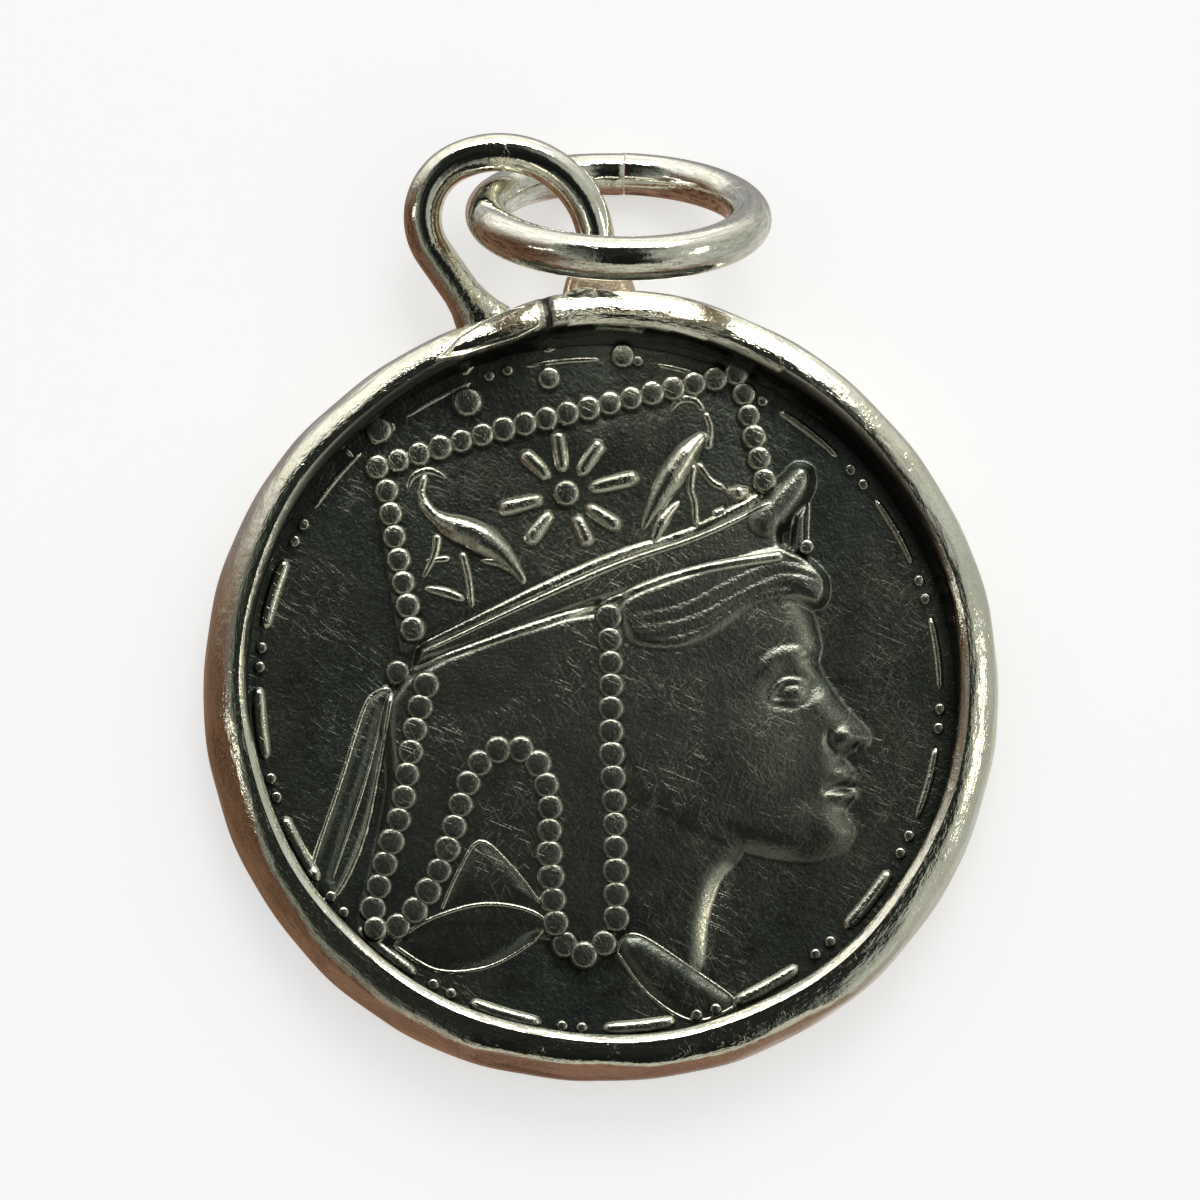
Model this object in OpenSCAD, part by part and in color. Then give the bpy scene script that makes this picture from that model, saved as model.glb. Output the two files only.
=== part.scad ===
// Coin pendant: a struck coin in a soldered frame with a wire loop, and a split
// jump ring hooked through the loop. It lies on its back, coin face up (+Z), with
// the loop towards +Y. The origin is on the coin's axis, where the frame's back
// lip rests. Sizes are in millimetres.

/* [Coin] */
// Diameter of the coin
coin_d = 18.8; // [16:0.2:26]
// Thickness of the coin
coin_t = 1.3; // [1:0.1:2]
// Bevel round the coin's edge
coin_bevel = 0.1; // [0.05:0.05:0.2]
// Diameter of the beads that edge the cap and its flap
bead_d = 0.55; // [0.4:0.05:0.7]
// Height of a bead above the surface that it stands on
bead_rise = 0.22; // [0.15:0.01:0.3]
// Rise of the head above the field at the cheek
head_rise = 0.45; // [0.3:0.05:0.6]
// Step of the head above the field at the head's outline
head_step = 0.12; // [0.08:0.02:0.2]
// Height of the ribbons and the neck cloth above the dome
cloth_rise = 0.08; // [0.05:0.01:0.09]
// Depth of the cap's panel below the head's dome
cap_sink = 0.15; // [0.1:0.01:0.2]
// Height of a fine line above the surface that it stands on
line_rise = 0.1; // [0.06:0.01:0.14]
// Width of the fine raised lines
line_w = 0.24; // [0.16:0.02:0.3]

/* [Frame] */
// Clearance between the coin and the frame all round
seat_gap = 0.05; // [0.03:0.01:0.1]
// Wall of the frame outside the coin, at mid height
frame_wall = 0.55; // [0.45:0.05:1]
// How far each lip laps over the coin
lip_over = 0.46; // [0.3:0.02:0.7]
// Rise of the front crest above the coin's field
front_rise = 0.9; // [0.7:0.05:1.3]
// Depth of the coin's back inside the back lip
back_rise = 0.4; // [0.3:0.05:0.7]
// How far the outer side swells past the back edge
side_swell = 0.5; // [0.35:0.05:0.6]
// Radius of the front crest
crest_r = 0.2; // [0.12:0.02:0.26]
// Depth of the solder pad over the joint in the frame
solder_d = 0.45; // [0.3:0.05:0.5]
// Height of the solder pad above the crest
solder_rise = 0.12; // [0.06:0.02:0.2]
// Width of the joint where the frame strip's ends meet
joint_w = 0.12; // [0.06:0.02:0.2]

/* [Loop] */
// Diameter of the loop's wire
loop_wire_d = 0.98; // [0.8:0.02:1.2]
// Centre line radius of the loop's wide side
loop_wide_r = 2.48; // [2.2:0.02:3]
// Centre line radius of the loop's tight side
loop_tight_r = 1.6; // [1.3:0.05:1.9]
// Distance of the wide side's centre outside the frame
loop_reach = 1.7; // [1.5:0.05:2.2]
// Sideways place of the wide side's centre
loop_shift = -0.58; // [-1:0.02:0]
// Slope of the loop up and away from the frame
loop_slope = 12; // [9:1:15]
// Height of the loop's underside over the jump ring's wire, at the frame
loop_over = 0.21; // [0.15:0.01:0.4]
// Widest radius of the solder at the right foot
foot_r = 0.95; // [0.7:0.05:1.1]
// Height of the solder up the right foot
foot_h = 0.9; // [0.6:0.05:1.1]

/* [Jump ring] */
// Outside diameter of the jump ring
ring_d = 7.8; // [7.2:0.1:9]
// Diameter of the jump ring's wire
ring_wire_d = 1.1; // [0.9:0.02:1.2]
// Angle between the leaning jump ring and the table
ring_lean = 54; // [51:1:58]
// Turn of the jump ring about the vertical
ring_turn = -9.6; // [-14:0.2:-6]
// Width of the cut where the jump ring's ends meet
ring_cut = 0.08; // [0.05:0.01:0.15]
// Least clearance between the jump ring's wire and the loop's
ring_gap = 0.1; // [0.05:0.01:0.2]

/* [Hidden] */
$fn = 64;

coin_r = coin_d / 2;
u = coin_r / 100;                     // a hundredth of the coin's radius
face = back_rise + coin_t;            // level of the coin's field
seat_r = coin_r + seat_gap;
frame_r = seat_r + frame_wall;
frame_h = face + front_rise;
open_r = coin_r - lip_over;
root = 0.3;                           // how deep raised work is rooted in the coin

// Points of an arc in the plane, in n steps from angle a to angle b.
function arc(c, r, a, b, n) =
    [for (k = [0:n]) c + r * [cos(a + (b - a) * k / n), sin(a + (b - a) * k / n)]];
function unit(a) = [cos(a), sin(a)];

// Points spread evenly along a path of straight runs, about pitch apart.
function run_of(path, n) = n == 0 ? 0 : run_of(path, n - 1) + norm(path[n] - path[n - 1]);
function point_at(path, s, n = 0) =
    let (step = norm(path[n + 1] - path[n]))
    n == len(path) - 2 || s <= step
        ? path[n] + (path[n + 1] - path[n]) * s / step
        : point_at(path, s - step, n + 1);
function spread(path, pitch) =
    let (total = run_of(path, len(path) - 1), n = max(1, round(total / pitch)))
    [for (k = [0:n]) point_at(path, total * k / n)];

// The coin's design. Places are in hundredths of the coin's radius.
// Relief: a shallow dome over the head, the cap and the flap.
dome_at = [4, 4];
dome_reach = 86;
dome_drop = head_rise - head_step;
dome_r = (pow(dome_reach * u, 2) + pow(dome_drop, 2)) / (2 * dome_drop);
function dome(p) =
    sqrt(pow(dome_r, 2) - pow(norm(p - dome_at) * u, 2)) - dome_r + head_rise;
function panel(p) = max(0, dome(p) - cap_sink);

// The outline between two paths, and a path's worth of equal upward steps.
function between(a, b) = concat(a, [for (k = [len(b) - 1:-1:0]) b[k]]);
function lift_all(path, h) = [for (p = path) [0, h]];

// A plain profile on thirds: hairline, brow, nose base and chin are a third apart.
hairline_y = 24;
third = 26;
brow_y = hairline_y - third;
nose_y = brow_y - third;
chin_y = nose_y - third;
profile = [
    [56, hairline_y], [60, hairline_y - 11], [61, brow_y + 4],
    [59.5, brow_y - 2], [64, brow_y - 13], [69.5, nose_y + 4], [67.5, nose_y],
    [61.5, nose_y - 1.5], [63.5, nose_y - 6], [60.5, nose_y - 9.5],
    [62.5, nose_y - 12], [59, nose_y - 16.5], [60.5, chin_y + 4.5],
    [56, chin_y - 1], [46, chin_y - 2], [34, chin_y + 2]];
throat = [[24, -55], [18, -66], [13, -79]];
flap_back = [[-8, -73], [-19, -75], [-28, -66], [-64, -60], [-77, -54],
             [-69, -37], [-61, -17], [-54, 14]];
hairline = [[9, 26], [52, 32]];
brow_line = [[44, brow_y], [56, brow_y + 1.5]];
eye = [[44, brow_y - 8], [48, brow_y - 5.8], [53, brow_y - 6.4],
       [52.5, brow_y - 9], [47, brow_y - 9.6]];
hair_lines = [[[15, 12], [28, 16]], [[30, 16], [44, 19]], [[46, 20], [55, 19]],
              [[20, 7], [36, 12]], [[39, 13], [54, 14.5]]];

// Cap: a panel edged with beads, over a band with a line along each edge.
cap_panel = [[-53, 73.6], [56, 84.4], [59, 43], [10, 30], [-51.5, 15]];
cap_top = [[-49, 70], [52, 80]];
cap_left = [[-48, 63], [-47.5, 24]];
cap_right = [[53, 74], [54, 49]];
band_high = [[-48, 19], [10, 34], [54, 45]];
band_low = [[-49, 12], [9, 23], [53, 29]];
rail_above = 0.5;
rail_below = 1.9;
bead_pitch = 1.09 * bead_d;
pellets = [[-22, 84, 0.42], [-47, 80, 0.36], [1, 87, 0.33], [22, 89, 0.34]];

// Star between two birds.
star_at = [0.5, 54];
star_hub_r = 0.32;
star_rays = 8;
star_from = 5.5;
star_to = 18;
star_turn = 3;
star_w = 0.34;
star_widest = 9.5;
bird_lines = [
    [[-41, 63], [-36, 66.5]], [[-37, 66.5], [-30.5, 64]], [[-36.5, 66], [-36, 50]],
    [[-36, 48], [-42, 37]], [[-41, 34], [-32.5, 30]], [[-28, 42], [-30, 27]],
    [[32, 73], [37.5, 75]], [[36, 75.5], [41, 70]], [[40.5, 72], [39.5, 59]],
    [[36, 58], [33, 46]], [[33.2, 48], [32.6, 39]], [[36, 57], [44, 47]],
    [[42, 48.5], [50, 46]]];
bird_bodies = [
    [[-38, 55], [-33, 53.5], [-26, 49], [-19, 42], [-14.5, 31],
     [-19, 34], [-25, 39], [-33, 42.5], [-38, 47]],
    [[40, 65], [36, 63.5], [30, 59.5], [24.5, 53], [18, 40.5],
     [23, 44], [28, 49], [34, 53], [39.5, 58]]];

// Beads round the flap and neck cloth, knots, ribbons and a leaf.
flap_front = [[5, 18], [0, -10], [-3, -37], [-7, -62]];
flap_hem = [[-46, 8], [-57, -20], [-65, -39], [-71, -52], [-64, -55], [-55, -47],
            [-44, -28], [-37, -18], [-29, -13], [-22, -15], [-18, -26],
            [-22, -46], [-23, -62], [-17, -70], [-10, -67]];
front_knot = [[60, 49], 0.5];
front_knot_tail = [[62.5, 43], [61.5, 27]];
back_knot = [[-53.5, 13], 0.33];
ribbon = [[-55, 9], [-63, 6], [-73, -14], [-85, -38], [-80, -44], [-70, -31], [-61, -10]];
neck_leaf = [[-66, -59], [-55, -54], [-43, -51], [-27, -58], [-28, -63], [-42, -68], [-56, -68]];
neck_tail = [[-8, -71], [-2, -67], [20, -88], [17, -91], [8, -91]];

// Border: long reels and pairs of beads just inside the lip.
border_at = 91.5;
border_units = 16;
border_turn = 244;
reel_span = 12;
border_bead_at = [9.5, 13];
border_w = 0.26;

// Loop: two arcs that meet smoothly, and a leg at each end.
loop_r = loop_wire_d / 2;
loop_z = ring_wire_d + loop_r + loop_over;
wide_at = [loop_shift, loop_reach];
meet_a = 107;
right_a = -6;
left_a = 206;
tight_at = wide_at + (loop_wide_r - loop_tight_r) * unit(meet_a);
right_from = wide_at + loop_wide_r * unit(right_a);
left_from = tight_at + loop_tight_r * unit(left_a);
leg_depth = frame_wall / 2;           // how far the legs reach into the wall
// Length of a leg that leaves p in direction d and ends inside the frame's wall.
function leg_to_wall(p, d) =
    let (q = p + [0, frame_r], b = q * d, c = q * q - pow(frame_r - leg_depth, 2))
    -b - sqrt(b * b - c);
right_dir = [sin(right_a), -cos(right_a)];
left_dir = [-sin(left_a), cos(left_a)];
right_leg = leg_to_wall(right_from, right_dir);
left_leg = leg_to_wall(left_from, left_dir);
hair = 0.015;                         // step between two runs of the wire
blend = 0.1;                          // how far a leg reaches back into its arc
blend_a = 3;                          // how far the tight arc reaches back into the wide one

// Joint in the frame's strip, and the thick and thin ends of the solder over it.
joint_a = 87;
pad_from = joint_a + 1.5;
pad_thin_from = joint_a + 11;
pad_to = joint_a + 18;

// Jump ring: its lowest point lies on the table beside the loop's shoulder.
shoulder_a = 40;
ring_beside = [0.43, 0.38];
ring_line_r = (ring_d - ring_wire_d) / 2;
wires = (ring_wire_d + loop_wire_d) / 2;
ring_low = [wires, frame_r] + wide_at + loop_wide_r * unit(shoulder_a) + ring_beside;
ring_away = unit(90 + ring_turn);
ring_seen_at = ring_low - ring_line_r * cos(ring_lean) * ring_away;
ring_z = ring_line_r * sin(ring_lean) + ring_wire_d / 2;
cut_span = ring_cut / ring_line_r * 180 / PI;
cut_a = 84.5;

// The two wires' centre lines. The ring slides towards the coin until they clear.
loop_line = [for (q = concat(arc(wide_at, loop_wide_r, right_a, meet_a, 30),
                             arc(tight_at, loop_tight_r, meet_a, left_a, 20),
                             [for (k = [1:5]) right_from + right_leg * k / 5 * right_dir]))
    [q.x, frame_r + q.y * cos(loop_slope), loop_z + q.y * sin(loop_slope)]];
function ring_line(at) = [for (q = arc([0, 0], ring_line_r, 0, 360, 72))
    let (p = at + q.x * unit(ring_turn) + q.y * cos(ring_lean) * ring_away)
    [p.x, p.y, ring_z - q.y * sin(ring_lean)]];
function nearest(a, b) = min([for (p = a) for (q = b) norm(p - q)]);
slide_steps = [for (s = [0:0.05:1])
    if (nearest(loop_line, ring_line(ring_seen_at - s * ring_away)) >= wires + ring_gap) s];
ring_at = ring_seen_at - concat(slide_steps, 1)[0] * ring_away;

module dot(p, r, rise, level) {
    translate([p.x * u, p.y * u, face + level + rise - r]) sphere(r = r, $fn = 24);
}

// A flat bar with pointed ends, drawn from p to q.
module bar(p, q, w = line_w) {
    d = (q - p) * u;
    translate(p * u) rotate(atan2(d.y, d.x))
        polygon([[-w / 2, 0], [0, -w / 2], [norm(d), -w / 2],
                 [norm(d) + w / 2, 0], [norm(d), w / 2], [0, w / 2]]);
}

module raised(h) {
    translate([0, 0, face - root]) linear_extrude(root + h) children();
}

// A flat shape raised to the dome's surface, moved up by lift.
module on_dome(lift = 0) {
    intersection() {
        raised(head_rise + abs(lift) + root) children();
        translate([dome_at.x * u, dome_at.y * u, face + head_rise + lift - dome_r])
            sphere(r = dome_r, $fn = 240);
    }
}

module head() {
    on_dome() polygon(concat(profile, throat, flap_back, hairline) * u);
    on_dome(line_rise) {
        for (s = hair_lines) bar(s[0], s[1]);
        bar(brow_line[0], brow_line[1]);
        polygon(eye * u);
    }
}

module flap_beads() {
    for (path = [flap_front, flap_hem])
        for (p = spread(path, bead_pitch / u)) dot(p, bead_d / 2, bead_rise, dome(p));
}

module cap() {
    on_dome(-cap_sink) polygon(cap_panel * u);
    on_dome(line_rise / 2) polygon(between(band_high, band_low) * u);
    on_dome(line_rise * 1.5)
        for (rail = [band_high, band_low])
            polygon(between(rail + lift_all(rail, rail_above), rail - lift_all(rail, rail_below)) * u);
    for (path = [cap_top, cap_left, cap_right])
        for (p = spread(path, bead_pitch / u)) dot(p, bead_d / 2, bead_rise, panel(p));
    for (p = pellets) dot([p[0], p[1]], p[2], bead_rise, 0);
}

module star_and_birds() {
    dot(star_at, star_hub_r, bead_rise, panel(star_at));
    on_dome(line_rise - cap_sink) {
        for (k = [0:star_rays - 1])
            translate(star_at * u) rotate(star_turn + 360 * k / star_rays)
                polygon([[star_from * u, 0], [star_widest * u, -star_w / 2],
                         [star_to * u, 0], [star_widest * u, star_w / 2]]);
        for (s = bird_lines) bar(s[0], s[1]);
        for (b = bird_bodies) polygon(b * u);
    }
}

module knots_and_ribbons() {
    dot(front_knot[0], front_knot[1], bead_rise, 0);
    dot(back_knot[0], back_knot[1], bead_rise, 0);
    raised(2 * line_rise) bar(front_knot_tail[0], front_knot_tail[1]);
    on_dome(cloth_rise) {
        polygon(ribbon * u);
        polygon(neck_leaf * u);
        polygon(neck_tail * u);
    }
}

module border() {
    r = border_at * u;
    for (k = [0:border_units - 1])
        rotate([0, 0, border_turn + 360 * k / border_units]) {
            translate([0, 0, face])
                rotate([0, 0, -reel_span / 2])
                    rotate_extrude(angle = reel_span, $fn = 128)
                        translate([r, 0]) circle(d = border_w, $fn = 16);
            for (a = border_bead_at)
                dot(border_at * unit(a), border_w / 2, border_w / 3, 0);
        }
}

module coin() {
    color([0.2, 0.2, 0.19]) {
        rotate_extrude($fn = 128)
            polygon([[0, back_rise], [coin_r - coin_bevel, back_rise],
                     [coin_r, back_rise + coin_bevel], [coin_r, face - coin_bevel],
                     [coin_r - coin_bevel, face], [0, face]]);
        head();
        flap_beads();
        cap();
        star_and_birds();
        knots_and_ribbons();
        border();
    }
}

// Section of the frame: a swelling outer side, a round crest and a groove for the coin.
mid = frame_h / 2;
side_r = (pow(mid, 2) + pow(side_swell, 2)) / (2 * side_swell);
side_at = [frame_r - side_r, mid];
crest_a = asin((mid - crest_r) / (side_r - crest_r));
crest_at = side_at + (side_r - crest_r) * unit(crest_a);
back_a = asin(mid / side_r);
lip_inner_a = 165;

module frame_section() {
    polygon(concat(
        arc(side_at, side_r, -back_a, crest_a, 10),
        arc(crest_at, crest_r, crest_a, lip_inner_a, 8),
        [[open_r, face + seat_gap], [seat_r, face + seat_gap],
         [seat_r, back_rise - seat_gap], [open_r, back_rise - seat_gap],
         [open_r + seat_gap, 0]]));
}

// Solder over the joint: a pad with a filed, slanting top that thins out leftwards.
module solder_pad(from, to, h, w) {
    rotate([0, 0, from])
        rotate_extrude(angle = to - from, $fn = 128)
            translate([crest_at.x, frame_h])
                polygon([[-w / 3, -solder_d], [-w / 3, h], [w / 3, h],
                         [w, h - solder_d], [w, -2 * solder_d]]);
}

// A run of the loop's wire, straight or bent. Runs overlap, so each is a hair
// thinner than the one before.
module loop_leg(p, d, length, thinner) {
    translate(p - blend * d) rotate([0, 0, atan2(d.y, d.x)]) rotate([0, 90, 0])
        cylinder(r = loop_r - thinner, h = length + blend);
}

module loop_arc(c, r, a, b, thinner = 0) {
    translate(c) rotate([0, 0, a])
        rotate_extrude(angle = b - a, $fn = 96)
            translate([r, 0]) circle(r = loop_r - thinner, $fn = 32);
}

module right_foot() {
    bottom = right_leg - leg_depth;
    translate(right_from) rotate([0, 0, atan2(right_dir.y, right_dir.x)]) rotate([0, 90, 0])
        rotate_extrude($fn = 48)
            polygon([[0, bottom - foot_h], [loop_r - 2 * hair, bottom - foot_h],
                     for (k = [1:5]) [loop_r + (foot_r - loop_r) * (1 - cos(18 * k)),
                                      bottom - foot_h * (1 - sin(18 * k))],
                     [foot_r, bottom + leg_depth / 2], [0, bottom + leg_depth / 2]]);
}

module loop() {
    translate([0, frame_r, loop_z]) rotate([loop_slope, 0, 0]) {
        loop_arc(wide_at, loop_wide_r, right_a, meet_a);
        loop_arc(tight_at, loop_tight_r, meet_a - blend_a, left_a, hair);
        loop_leg(right_from, right_dir, right_leg, hair);
        loop_leg(left_from, left_dir, left_leg, 2 * hair);
        right_foot();
    }
}

module frame() {
    color([0.78, 0.77, 0.74]) difference() {
        union() {
            rotate_extrude($fn = 180) frame_section();
            solder_pad(pad_from, pad_thin_from + 1, solder_rise, frame_r - crest_at.x);
            solder_pad(pad_thin_from, pad_to, solder_rise / 3, 0.8 * (frame_r - crest_at.x));
            difference() {
                loop();
                translate([0, 0, -frame_h])
                    cylinder(r = seat_r + leg_depth / 2, h = 3 * frame_h, $fn = 180);
            }
        }
        rotate([0, 0, joint_a])
            translate([open_r - lip_over, -joint_w / 2, frame_h - crest_r])
                cube([2 * frame_wall + 2 * lip_over, joint_w, frame_h]);
    }
}

module jump_ring() {
    color([0.82, 0.81, 0.78])
        translate([ring_at.x, ring_at.y, ring_z])
            rotate([0, 0, ring_turn]) rotate([-ring_lean, 0, 0])
                rotate([0, 0, cut_a + cut_span / 2])
                    rotate_extrude(angle = 360 - cut_span, $fn = 96)
                        translate([ring_line_r, 0]) circle(d = ring_wire_d, $fn = 32);
}

coin();
frame();
jump_ring();
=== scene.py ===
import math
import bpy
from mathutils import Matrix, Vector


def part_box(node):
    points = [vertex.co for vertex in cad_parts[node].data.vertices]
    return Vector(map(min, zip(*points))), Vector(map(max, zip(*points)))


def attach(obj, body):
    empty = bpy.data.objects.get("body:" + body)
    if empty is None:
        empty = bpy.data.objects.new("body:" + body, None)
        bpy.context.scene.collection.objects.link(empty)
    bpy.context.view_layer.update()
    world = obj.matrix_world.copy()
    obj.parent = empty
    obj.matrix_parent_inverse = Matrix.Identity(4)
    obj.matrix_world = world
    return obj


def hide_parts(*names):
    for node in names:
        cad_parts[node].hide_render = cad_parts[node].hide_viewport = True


bl_info = {
    "name": "Coin Pendant",
    "version": (1, 0, 0),
    "blender": (4, 5, 0),
    "location": "View3D > Sidebar > Pendant",
    "description": "A struck coin in a soldered silver frame, with a wire loop and a split jump ring",
    "category": "Add Mesh",
}

import bpy
import numpy as np
from mathutils import Matrix, Vector

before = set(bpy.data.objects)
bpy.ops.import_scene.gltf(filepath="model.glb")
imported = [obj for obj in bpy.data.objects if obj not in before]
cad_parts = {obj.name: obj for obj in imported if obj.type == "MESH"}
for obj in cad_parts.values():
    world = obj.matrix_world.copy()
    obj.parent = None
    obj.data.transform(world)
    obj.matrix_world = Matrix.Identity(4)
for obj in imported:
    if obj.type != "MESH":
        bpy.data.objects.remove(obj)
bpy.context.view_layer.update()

MM = 0.001
COIN_LOW, COIN_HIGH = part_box("coin")
FRAME_LOW, FRAME_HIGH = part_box("frame")
RING_LOW, RING_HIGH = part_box("jump_ring")

# The pendant's sizes, in millimetres. Those that the frame shows are taken from it.
COIN_R = (COIN_HIGH.x - COIN_LOW.x) / 2 / MM
FRAME_R = (FRAME_HIGH.x - FRAME_LOW.x) / 2 / MM
COIN_BACK = COIN_LOW.z / MM
COIN_T = 1.3
FACE = COIN_BACK + COIN_T
FRONT_RISE = 0.9
FRAME_H = FACE + FRONT_RISE
LOOP_WIRE_D = 0.98
RING_WIRE_D = 1.1
RING_D = 7.8
SEAT_GAP = 0.05
WIRE_SIDES = 32
FULL_TURN = 360
# A hundredth of the coin's radius.
U = COIN_R / 100


def lengths(name, what, default):
    """A length that a user would change, kept in metres."""
    return bpy.props.FloatProperty(name=name, description=what, default=default * MM,
                                   min=0.0, precision=5, unit="LENGTH", subtype="DISTANCE")


def tint(name, what, default):
    """A colour that a user would change."""
    return bpy.props.FloatVectorProperty(name=name, description=what, default=default, size=3,
                                         min=0.0, max=1.0, subtype="COLOR")


class CoinSettings(bpy.types.PropertyGroup):
    bead_d: lengths("Bead", "Diameter of the beads that edge the cap and its flap", 0.72)
    bead_rise: lengths("Bead Rise", "Height of a bead above the surface under it", 0.2)
    head_rise: lengths("Head Rise", "Rise of the head above the field at the cheek", 0.45)
    head_step: lengths("Head Step", "Step of the head above the field at its outline", 0.12)
    line_w: lengths("Line Width", "Width of the fine raised lines", 0.26)
    dark: tint("Oxidised", "Colour of the darkened silver", (0.124, 0.138, 0.125))
    # The worn colour also paints a highlight down the neck's front.
    worn_and_highlight: tint("Worn", "Colour where handling has polished the silver", (0.62, 0.62, 0.54))


class BezelSettings(bpy.types.PropertyGroup):
    wall: lengths("Wall", "Wall of the frame outside the coin", 0.55)
    lip_over: lengths("Lip", "How far each lip laps over the coin", 0.46)
    side_swell: lengths("Swell", "How far the outer side swells past the back edge", 0.5)
    crest_r: lengths("Crest", "Radius of the front crest", 0.2)
    silver: tint("Silver", "Colour of the polished silver", (0.9, 0.89, 0.82))


class LoopSettings(bpy.types.PropertyGroup):
    wire_d: lengths("Wire", "Diameter of the loop's wire", LOOP_WIRE_D)
    wide_r: lengths("Wide Radius", "Centre line radius of the wide side", 2.48)
    tight_r: lengths("Tight Radius", "Centre line radius of the tight side", 1.6)
    reach: lengths("Reach", "Distance of the wide side's centre outside the frame", 1.7)
    silver: tint("Silver", "Colour of the loop's silver", (0.9, 0.89, 0.83))


class RingSettings(bpy.types.PropertyGroup):
    diameter: lengths("Diameter", "Outside diameter of the jump ring", RING_D)
    wire_d: lengths("Wire", "Diameter of the jump ring's wire", RING_WIRE_D)
    cut: lengths("Cut", "Width of the cut where the ring's ends meet", 0.03)
    silver: tint("Silver", "Colour of the jump ring's silver", (0.88, 0.87, 0.82))


class StageSettings(bpy.types.PropertyGroup):
    floor: tint("Floor", "Colour of the floor", (0.86, 0.86, 0.86))


# Small helpers for places, outlines and heights.
def unit(angle):
    """The plane direction at an angle in degrees."""
    return np.array([math.cos(math.radians(angle)), math.sin(math.radians(angle))])


def ease(t):
    """0 to 1 with soft ends."""
    t = np.clip(t, 0, 1)
    return t * t * (3 - 2 * t)


def curve(points, closed=False, steps=6):
    """A smooth line through the points, a Catmull-Rom spline."""
    p = np.array(points, float)
    count = len(p)
    spans = range(count if closed else count - 1)
    out = []
    for i in spans:
        if closed:
            a, b, c, d = (p[(i + k) % count] for k in (-1, 0, 1, 2))
        else:
            a, b, c, d = (p[min(max(i + k, 0), count - 1)] for k in (-1, 0, 1, 2))
        for t in np.arange(steps) / steps:
            out.append(0.5 * (2 * b + (c - a) * t + (2 * a - 5 * b + 4 * c - d) * t ** 2
                              + (3 * b - a - 3 * c + d) * t ** 3))
    if not closed:
        out.append(p[-1])
    return np.array(out)


def spread(points, pitch):
    """Places about pitch apart along a line of points."""
    p = np.array(points, float)
    run = np.concatenate([[0], np.cumsum(np.linalg.norm(np.diff(p, axis=0), axis=1))])
    count = max(1, round(run[-1] / pitch))
    at = np.linspace(0, run[-1], count + 1)
    return np.stack([np.interp(at, run, p[:, 0]), np.interp(at, run, p[:, 1])], 1)


def lumps(x, y, seed, waves=6):
    """A smooth, seeded unevenness between about -1 and 1."""
    rng = np.random.default_rng(seed)
    out = np.zeros_like(x)
    for _ in range(waves):
        a, k, s = rng.uniform(0, 2 * math.pi), rng.uniform(0.6, 1.6), rng.uniform(0, 6)
        out += np.sin(k * (x * math.cos(a) + y * math.sin(a)) + s)
    return out / waves


# Mesh helpers. Each new piece is made in edit mode from a primitive.
def clear_selection():
    """Leaves edit mode and deselects everything."""
    if bpy.context.object and bpy.context.object.mode != "OBJECT":
        bpy.ops.object.mode_set(mode="OBJECT")
    bpy.ops.object.select_all(action="DESELECT")


def points_of(obj):
    """A piece's points, in metres."""
    co = np.zeros(len(obj.data.vertices) * 3)
    obj.data.vertices.foreach_get("co", co)
    return co.reshape(-1, 3)


def move_points(obj, co):
    """Puts a piece's points at new places, in metres."""
    obj.data.vertices.foreach_set("co", np.ascontiguousarray(co, float).ravel())
    obj.data.update()


def edit(action="SELECT"):
    """Edit mode, with everything selected or nothing."""
    bpy.ops.object.mode_set(mode="EDIT")
    bpy.ops.mesh.select_all(action=action)


def leave_edit():
    """Back to object mode."""
    bpy.ops.object.mode_set(mode="OBJECT")


def spin(steps, degrees, centre=(0, 0)):
    """Spins what is selected about an upright axis. A positive angle turns it clockwise."""
    x, y = np.array(centre) * MM
    bpy.ops.mesh.spin(steps=steps, angle=math.radians(degrees), center=(x, y, 0), axis=(0, 0, 1))


def round_wire():
    """The directions round a wire's section."""
    return [unit(FULL_TURN * k / WIRE_SIDES) for k in range(WIRE_SIDES)]


def add_section(name, points):
    """A closed loop of edges through the points, in metres, selected in edit mode."""
    clear_selection()
    bpy.ops.mesh.primitive_circle_add(vertices=len(points), radius=MM)
    obj = bpy.context.object
    obj.name = obj.data.name = name
    move_points(obj, np.array(points))
    edit()
    return obj


def finish_shell(obj, merge=1e-7, angle=40):
    """Merges doubles, closes open ends, points faces outwards and shades the piece."""
    edit()
    bpy.ops.mesh.remove_doubles(threshold=merge)
    bpy.ops.mesh.fill_holes(sides=0)
    bpy.ops.mesh.select_all(action="SELECT")
    bpy.ops.mesh.normals_make_consistent(inside=False)
    leave_edit()
    bpy.ops.object.shade_smooth_by_angle(angle=math.radians(angle))
    return obj


def keep_mask(obj, name, values):
    """Keeps a mask from 0 to 1 on a piece's points.

    wear is where it is rubbed bright, and it also holds a painted highlight down the coin's neck front;
    the frame's dark mask is painted shade on the lip's inside, with the joint's own dark line; flush is
    where the torch has left it dull and coppery, and solder where solder has run and left it pitted.
    """
    attribute = obj.data.attributes.new(name, "FLOAT", "POINT")
    attribute.data.foreach_set("value", np.clip(values, 0, 1).astype(np.float32))


def place(obj, node, material):
    """Gives a finished piece its material and its body, and hides the part of the model that it stands
    for.
    """
    obj.data.materials.clear()
    obj.data.materials.append(material)
    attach(obj, "root")
    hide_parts(node)


# The coin's design, in hundredths of its radius, from the middle of the coin.
DOME_AT = (4, 4)
DOME_REACH = 86
CAP_SINK = 0.15
# The field's unevenness: its height in millimetres, and the spacing of its waves.
FIELD_UNEVEN = 0.006
FIELD_WAVE = 12
# How sharply a plate's edge turns down.
PLATE_TURN = 2.4

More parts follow.
